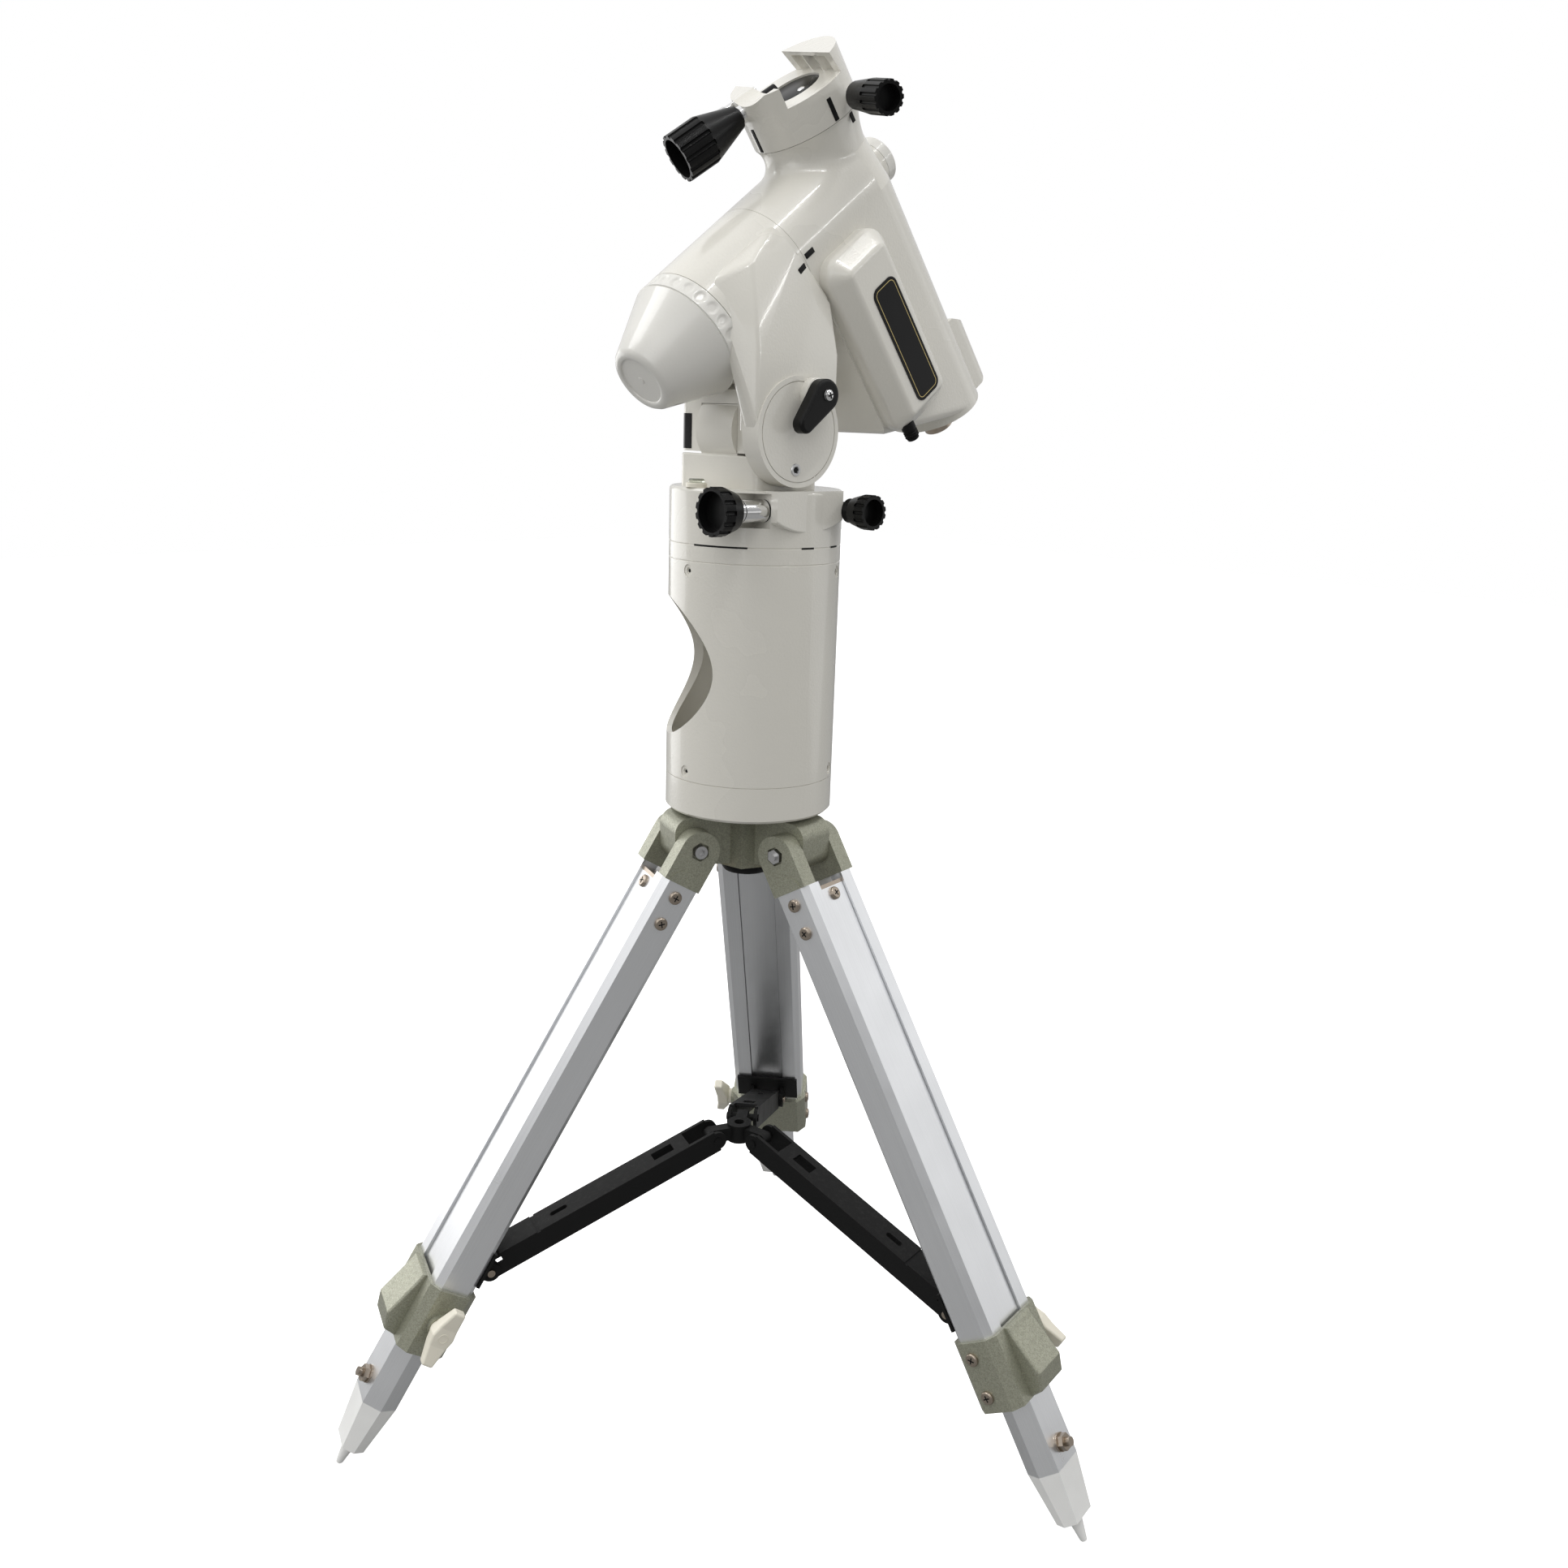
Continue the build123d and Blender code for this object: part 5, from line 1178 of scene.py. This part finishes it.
@dataclass
class BaseTrim:
    """Black strips painted as the shade in the gaps of the base seam, and dark cones painted as the
    shade in the small sockets of the pillar screws.
    """

    edge: Outline = ((63.4, 704.35), (64.06, 704.35), (64.06, 705.65), (63.4, 705.65))
    gaps: tuple[Point, ...] = ((-84.0, 38.0), (-10.0, 10.0), (18.0, 10.0))
    gap_steps: int = 24
    screw_bearings: tuple[float, ...] = (-89.5, 30.5, 150.5)
    screw_heights: tuple[float, ...] = (537.0, 686.0)
    screw_reach: float = 62.1
    socket: float = 1.5
    socket_shade_depth: float = 0.4

    def build(self) -> None:
        """Make the painted shade of the gap lines and of the sockets."""
        # black strips: painted shade in the seam's gaps
        for number, (start, sweep) in enumerate(self.gaps, 1):
            Workshop.turn(f"base_gap_shade_{number}", self.edge, spin_about(start), Body.BASE.value,
                          BLACK_PLASTIC, self.gap_steps, sweep)
        # dark cones: painted shade in the pillar screws' sockets
        dots = []
        for height in self.screw_heights:
            for bearing in self.screw_bearings:
                spot = spin_about(bearing) @ shift(self.screw_reach, 0, height)
                spot = spot @ spin_about(RIGHT_ANGLE, "Y")
                dots.append(Workshop.socket(self.socket, self.socket_shade_depth, spot))
        Workshop.hand_over("pillar_screw_socket_shade", Workshop.merge(dots), Body.STAND.value,
                           BLACK_PLASTIC)


@dataclass
class UnderGrip:
    """Black cable grip under the control box."""

    place: Spot = (54.0, -76.0, -150.0)
    radius: float = 5.5
    neck: float = 6.0
    ribs: int = 4
    rib_step: float = 2.0
    groove: float = 0.8
    groove_end: float = 1.8
    rib_end: float = 2.4
    taper: float = 0.3
    tip: float = 0.4
    steps: int = 40

    def build(self) -> None:
        """Make the ribbed grip."""
        wide, narrow = self.radius, self.radius - self.groove
        points: list[Point] = [(0.0, self.neck), (wide, self.neck)]
        for rib in range(self.ribs):
            low = -self.rib_step * rib
            points += [(wide, low), (narrow, low - self.groove), (narrow, low - self.groove_end),
                       (wide - self.taper * rib, low - self.rib_end)]
        points.append((0.0, points[-1][1] - self.tip))
        Workshop.turn("cable_grip", points, DEC_FRAME @ shift(*self.place),
                      Body.DECLINATION.value, BLACK_PLASTIC, self.steps)


@dataclass
class LegTrim:
    """Dark bars painted as the shade in the cross slots of the domed leg screws, and the round
    marks of the wing knobs.
    """

    pivot_radius: float = 51.0
    pivot_height: float = 476.5
    half_width: float = 32.4
    wall: float = 3.4
    rail_screws: tuple[float, ...] = (39.5, 61.7)
    collar_screws: tuple[float, ...] = (393.0, 422.0)
    collar_out: float = -4.0
    plug_screw: Point = (14.0, 42.0)
    plug_turn: float = 20.0
    head: float = 2.6
    slot: Spot = (5.0, 0.9, 0.5)
    slot_turn: float = 37.0
    wing_face: float = 18.0
    wing_at: float = 407.0
    wing_mark: Outline = ((3.1, -0.1), (3.2, 0.3), (3.7, 0.3), (3.8, -0.1))
    wing_steps: int = 40

    def leg_frame(self, azimuth: float) -> Matrix:
        """Give a leg's frame: across, outwards and down.

        Args:
            azimuth: Leg bearing in degrees.

        Returns:
            The frame.
        """
        turn = math.radians(azimuth)
        across = Vector((-math.sin(turn), math.cos(turn), 0.0))
        down = Vector(leg_direction(azimuth))
        reach = self.pivot_radius
        origin = (reach * math.cos(turn), reach * math.sin(turn), self.pivot_height)
        return axes(origin, across, down.cross(across), down)

    def side_spots(self) -> list[Matrix]:
        """Give the places of the rail and collar screws in the leg's frame.

        Returns:
            Frames on the screw heads.
        """
        reach = self.half_width + self.head
        spots = [(side * reach, 0.0, along) for side in (1.0, -1.0) for along in self.rail_screws]
        spots += [(-reach - self.wall, self.collar_out, along) for along in self.collar_screws]
        return [shift(*spot) @ spin_about(math.copysign(RIGHT_ANGLE, spot[0]), "Y")
                for spot in spots]

    def build_leg(self, leg: str, place: Matrix) -> None:
        """Make the trim of one leg.

        Args:
            leg: Name of the leg's body.
            place: The leg's frame.
        """
        # dark bars: painted shade in the slots of the rail and collar screws
        bars = []
        for number, spot in enumerate(self.side_spots()):
            bars += Workshop.cross(self.slot, place @ spot, self.slot_turn * number)
        Workshop.hand_over(f"{leg}_screw_slots", Workshop.merge(bars), leg, BLACK_PLASTIC)
        # dark bars: painted shade in the slot of the plug's screw
        out, along = self.plug_screw
        spot = place @ shift(0.0, out + self.head, along) @ spin_about(-RIGHT_ANGLE, "X")
        plug = Workshop.merge(Workshop.cross(self.slot, spot, self.plug_turn))
        Workshop.hand_over(f"{leg}_plug_slot_shade", plug, f"{leg}_shank", BLACK_PLASTIC)
        reach = self.half_width + self.wall + self.wing_face
        spot = place @ shift(reach, 0.0, self.wing_at) @ spin_about(RIGHT_ANGLE, "Y")
        Workshop.turn(f"{leg}_wing_mark", self.wing_mark, spot, f"{leg}_wing_knob", IVORY_PLASTIC,
                      self.wing_steps)

    def build(self) -> None:
        """Make the trim of every leg."""
        for number, azimuth in enumerate(LEG_AZIMUTHS, 1):
            self.build_leg(f"leg_{number}", self.leg_frame(azimuth))


@dataclass
class HeadPlug:
    """Black plug under the tripod head's column."""

    outline: Outline = ((0.0, 449.0), (15.0, 449.0), (17.4, 449.8), (19.0, 451.8), (20.0, 455.0),
                        (20.0, 458.5))

    def build(self) -> None:
        """Make the plug."""
        Workshop.turn("head_plug", self.outline, GROUND, Body.STAND.value, BLACK_PLASTIC)


@dataclass
class Studio:
    """Floor, soft lights and the camera."""

    floor_size: float = 14.0
    floor_steps: int = 8
    camera_place: Spot = (0.82095, -0.72630, 0.79533)
    camera_right: Spot = (0.675102, 0.737032, 0.031973)
    camera_up: Spot = (-0.201499, 0.142529, 0.969063)
    camera_back: Spot = (0.709673, -0.660659, 0.244733)
    sensor: float = 36.0
    focal_px: float = 1789.58
    image_px: float = 1932.0
    bright_side: Spot = (-0.30, 0.0, 0.954)
    world_span: Point = (-0.35, 1.0)
    world_light: Point = (0.17, 1.05)
    aim: Spot = (0.0, 0.0, 0.75)
    lamps: tuple[tuple[str, Spot, Point, float], ...] = (
        ("key", (-1.3, -1.5, 2.6), (1.3, 1.3), 20.0),
        ("west_panel", (-2.1, -0.5, 0.5), (1.2, 1.6), 10.0),
        ("north_panel", (1.1, 1.9, 0.8), (1.4, 1.6), 3.6),
        ("fill", (0.9, -1.7, 1.3), (1.3, 1.3), 6.0),
        ("tube_over", (0.66, 0.06, 2.34), (0.03, 1.5), 6.0),
        ("tube_side", (1.3, 0.73, 1.48), (0.03, 1.5), 2.5),
    )

    def build_floor(self) -> None:
        """Make the pale floor with a soft mottle."""
        mesh = bpy.data.meshes.new("studio_floor")
        shape = bmesh.new()
        bmesh.ops.create_grid(shape, x_segments=self.floor_steps, y_segments=self.floor_steps,
                              size=self.floor_size / 2)
        shape.to_mesh(mesh)
        shape.free()
        floor = bpy.data.objects.new("studio_floor", mesh)
        bpy.context.collection.objects.link(floor)
        mesh.materials.append(FLOOR.material())
        LOG.info("floor")

    def build_world(self) -> None:
        """Make a white backdrop whose light comes mostly from the upper left."""
        world = bpy.data.worlds.new("studio_world")
        bpy.context.scene.world = world
        world.use_nodes = True
        tree = Tree(world.node_tree.nodes, world.node_tree.links)
        back = world.node_tree.nodes["Background"]
        back.inputs["Color"].default_value = (*WHITE, 1.0)
        side = tree.add("VectorMath", operation="DOT_PRODUCT")
        tree.join(tree.add("TexCoord").outputs["Generated"], side.inputs[0])
        side.inputs[1].default_value = self.bright_side
        light = tree.span(side.outputs["Value"], self.world_span, self.world_light)
        seen = tree.add("LightPath").outputs["Is Camera Ray"]
        unseen = tree.maths("MULTIPLY", light, tree.maths("SUBTRACT", 1.0, seen))
        tree.join(tree.maths("ADD", unseen, seen), back.inputs["Strength"])

    def build_lights(self) -> None:
        """Make the soft area lights and two long tubes overhead."""
        for name, place, size, power in self.lamps:
            lamp = bpy.data.lights.new(name, "AREA")
            lamp.shape = "RECTANGLE"
            lamp.size, lamp.size_y = size
            lamp.energy = power
            thing = bpy.data.objects.new(name, lamp)
            back = (Vector(place) - Vector(self.aim)).normalized()
            along = (POLAR - POLAR.dot(back) * back).normalized()
            thing.matrix_world = axes(place, along.cross(back), along, back)
            thing.visible_camera = False
            bpy.context.collection.objects.link(thing)
        LOG.info("lights")

    def build_camera(self) -> None:
        """Make the camera at the photograph's viewing angle."""
        data = bpy.data.cameras.new("camera")
        data.sensor_width = self.sensor
        data.lens = self.sensor * self.focal_px / self.image_px
        thing = bpy.data.objects.new("camera", data)
        thing.matrix_world = axes(self.camera_place, self.camera_right, self.camera_up,
                                  self.camera_back)
        bpy.context.collection.objects.link(thing)
        bpy.context.scene.camera = thing
        LOG.info("camera")

    def build(self) -> None:
        """Make the whole stage."""
        self.build_floor()
        self.build_world()
        self.build_lights()
        self.build_camera()
        bpy.context.scene.view_settings.view_transform = "Standard"


def main() -> None:
    """Build every part of the scene in order."""
    logging.basicConfig(level=logging.INFO)
    for assembly in (Dresser(), ScopeCap(), ControlLabel(), IndexMarks(), EarCheek(), EarTrim(),
                     ScaleWindow(), LevelTrim(), KnobTrim(), GroovePlate(), BaseTrim(),
                     UnderGrip(), LegTrim(), HeadPlug(), Studio()):
        assembly.build()


if __name__ == "__main__":
    main()
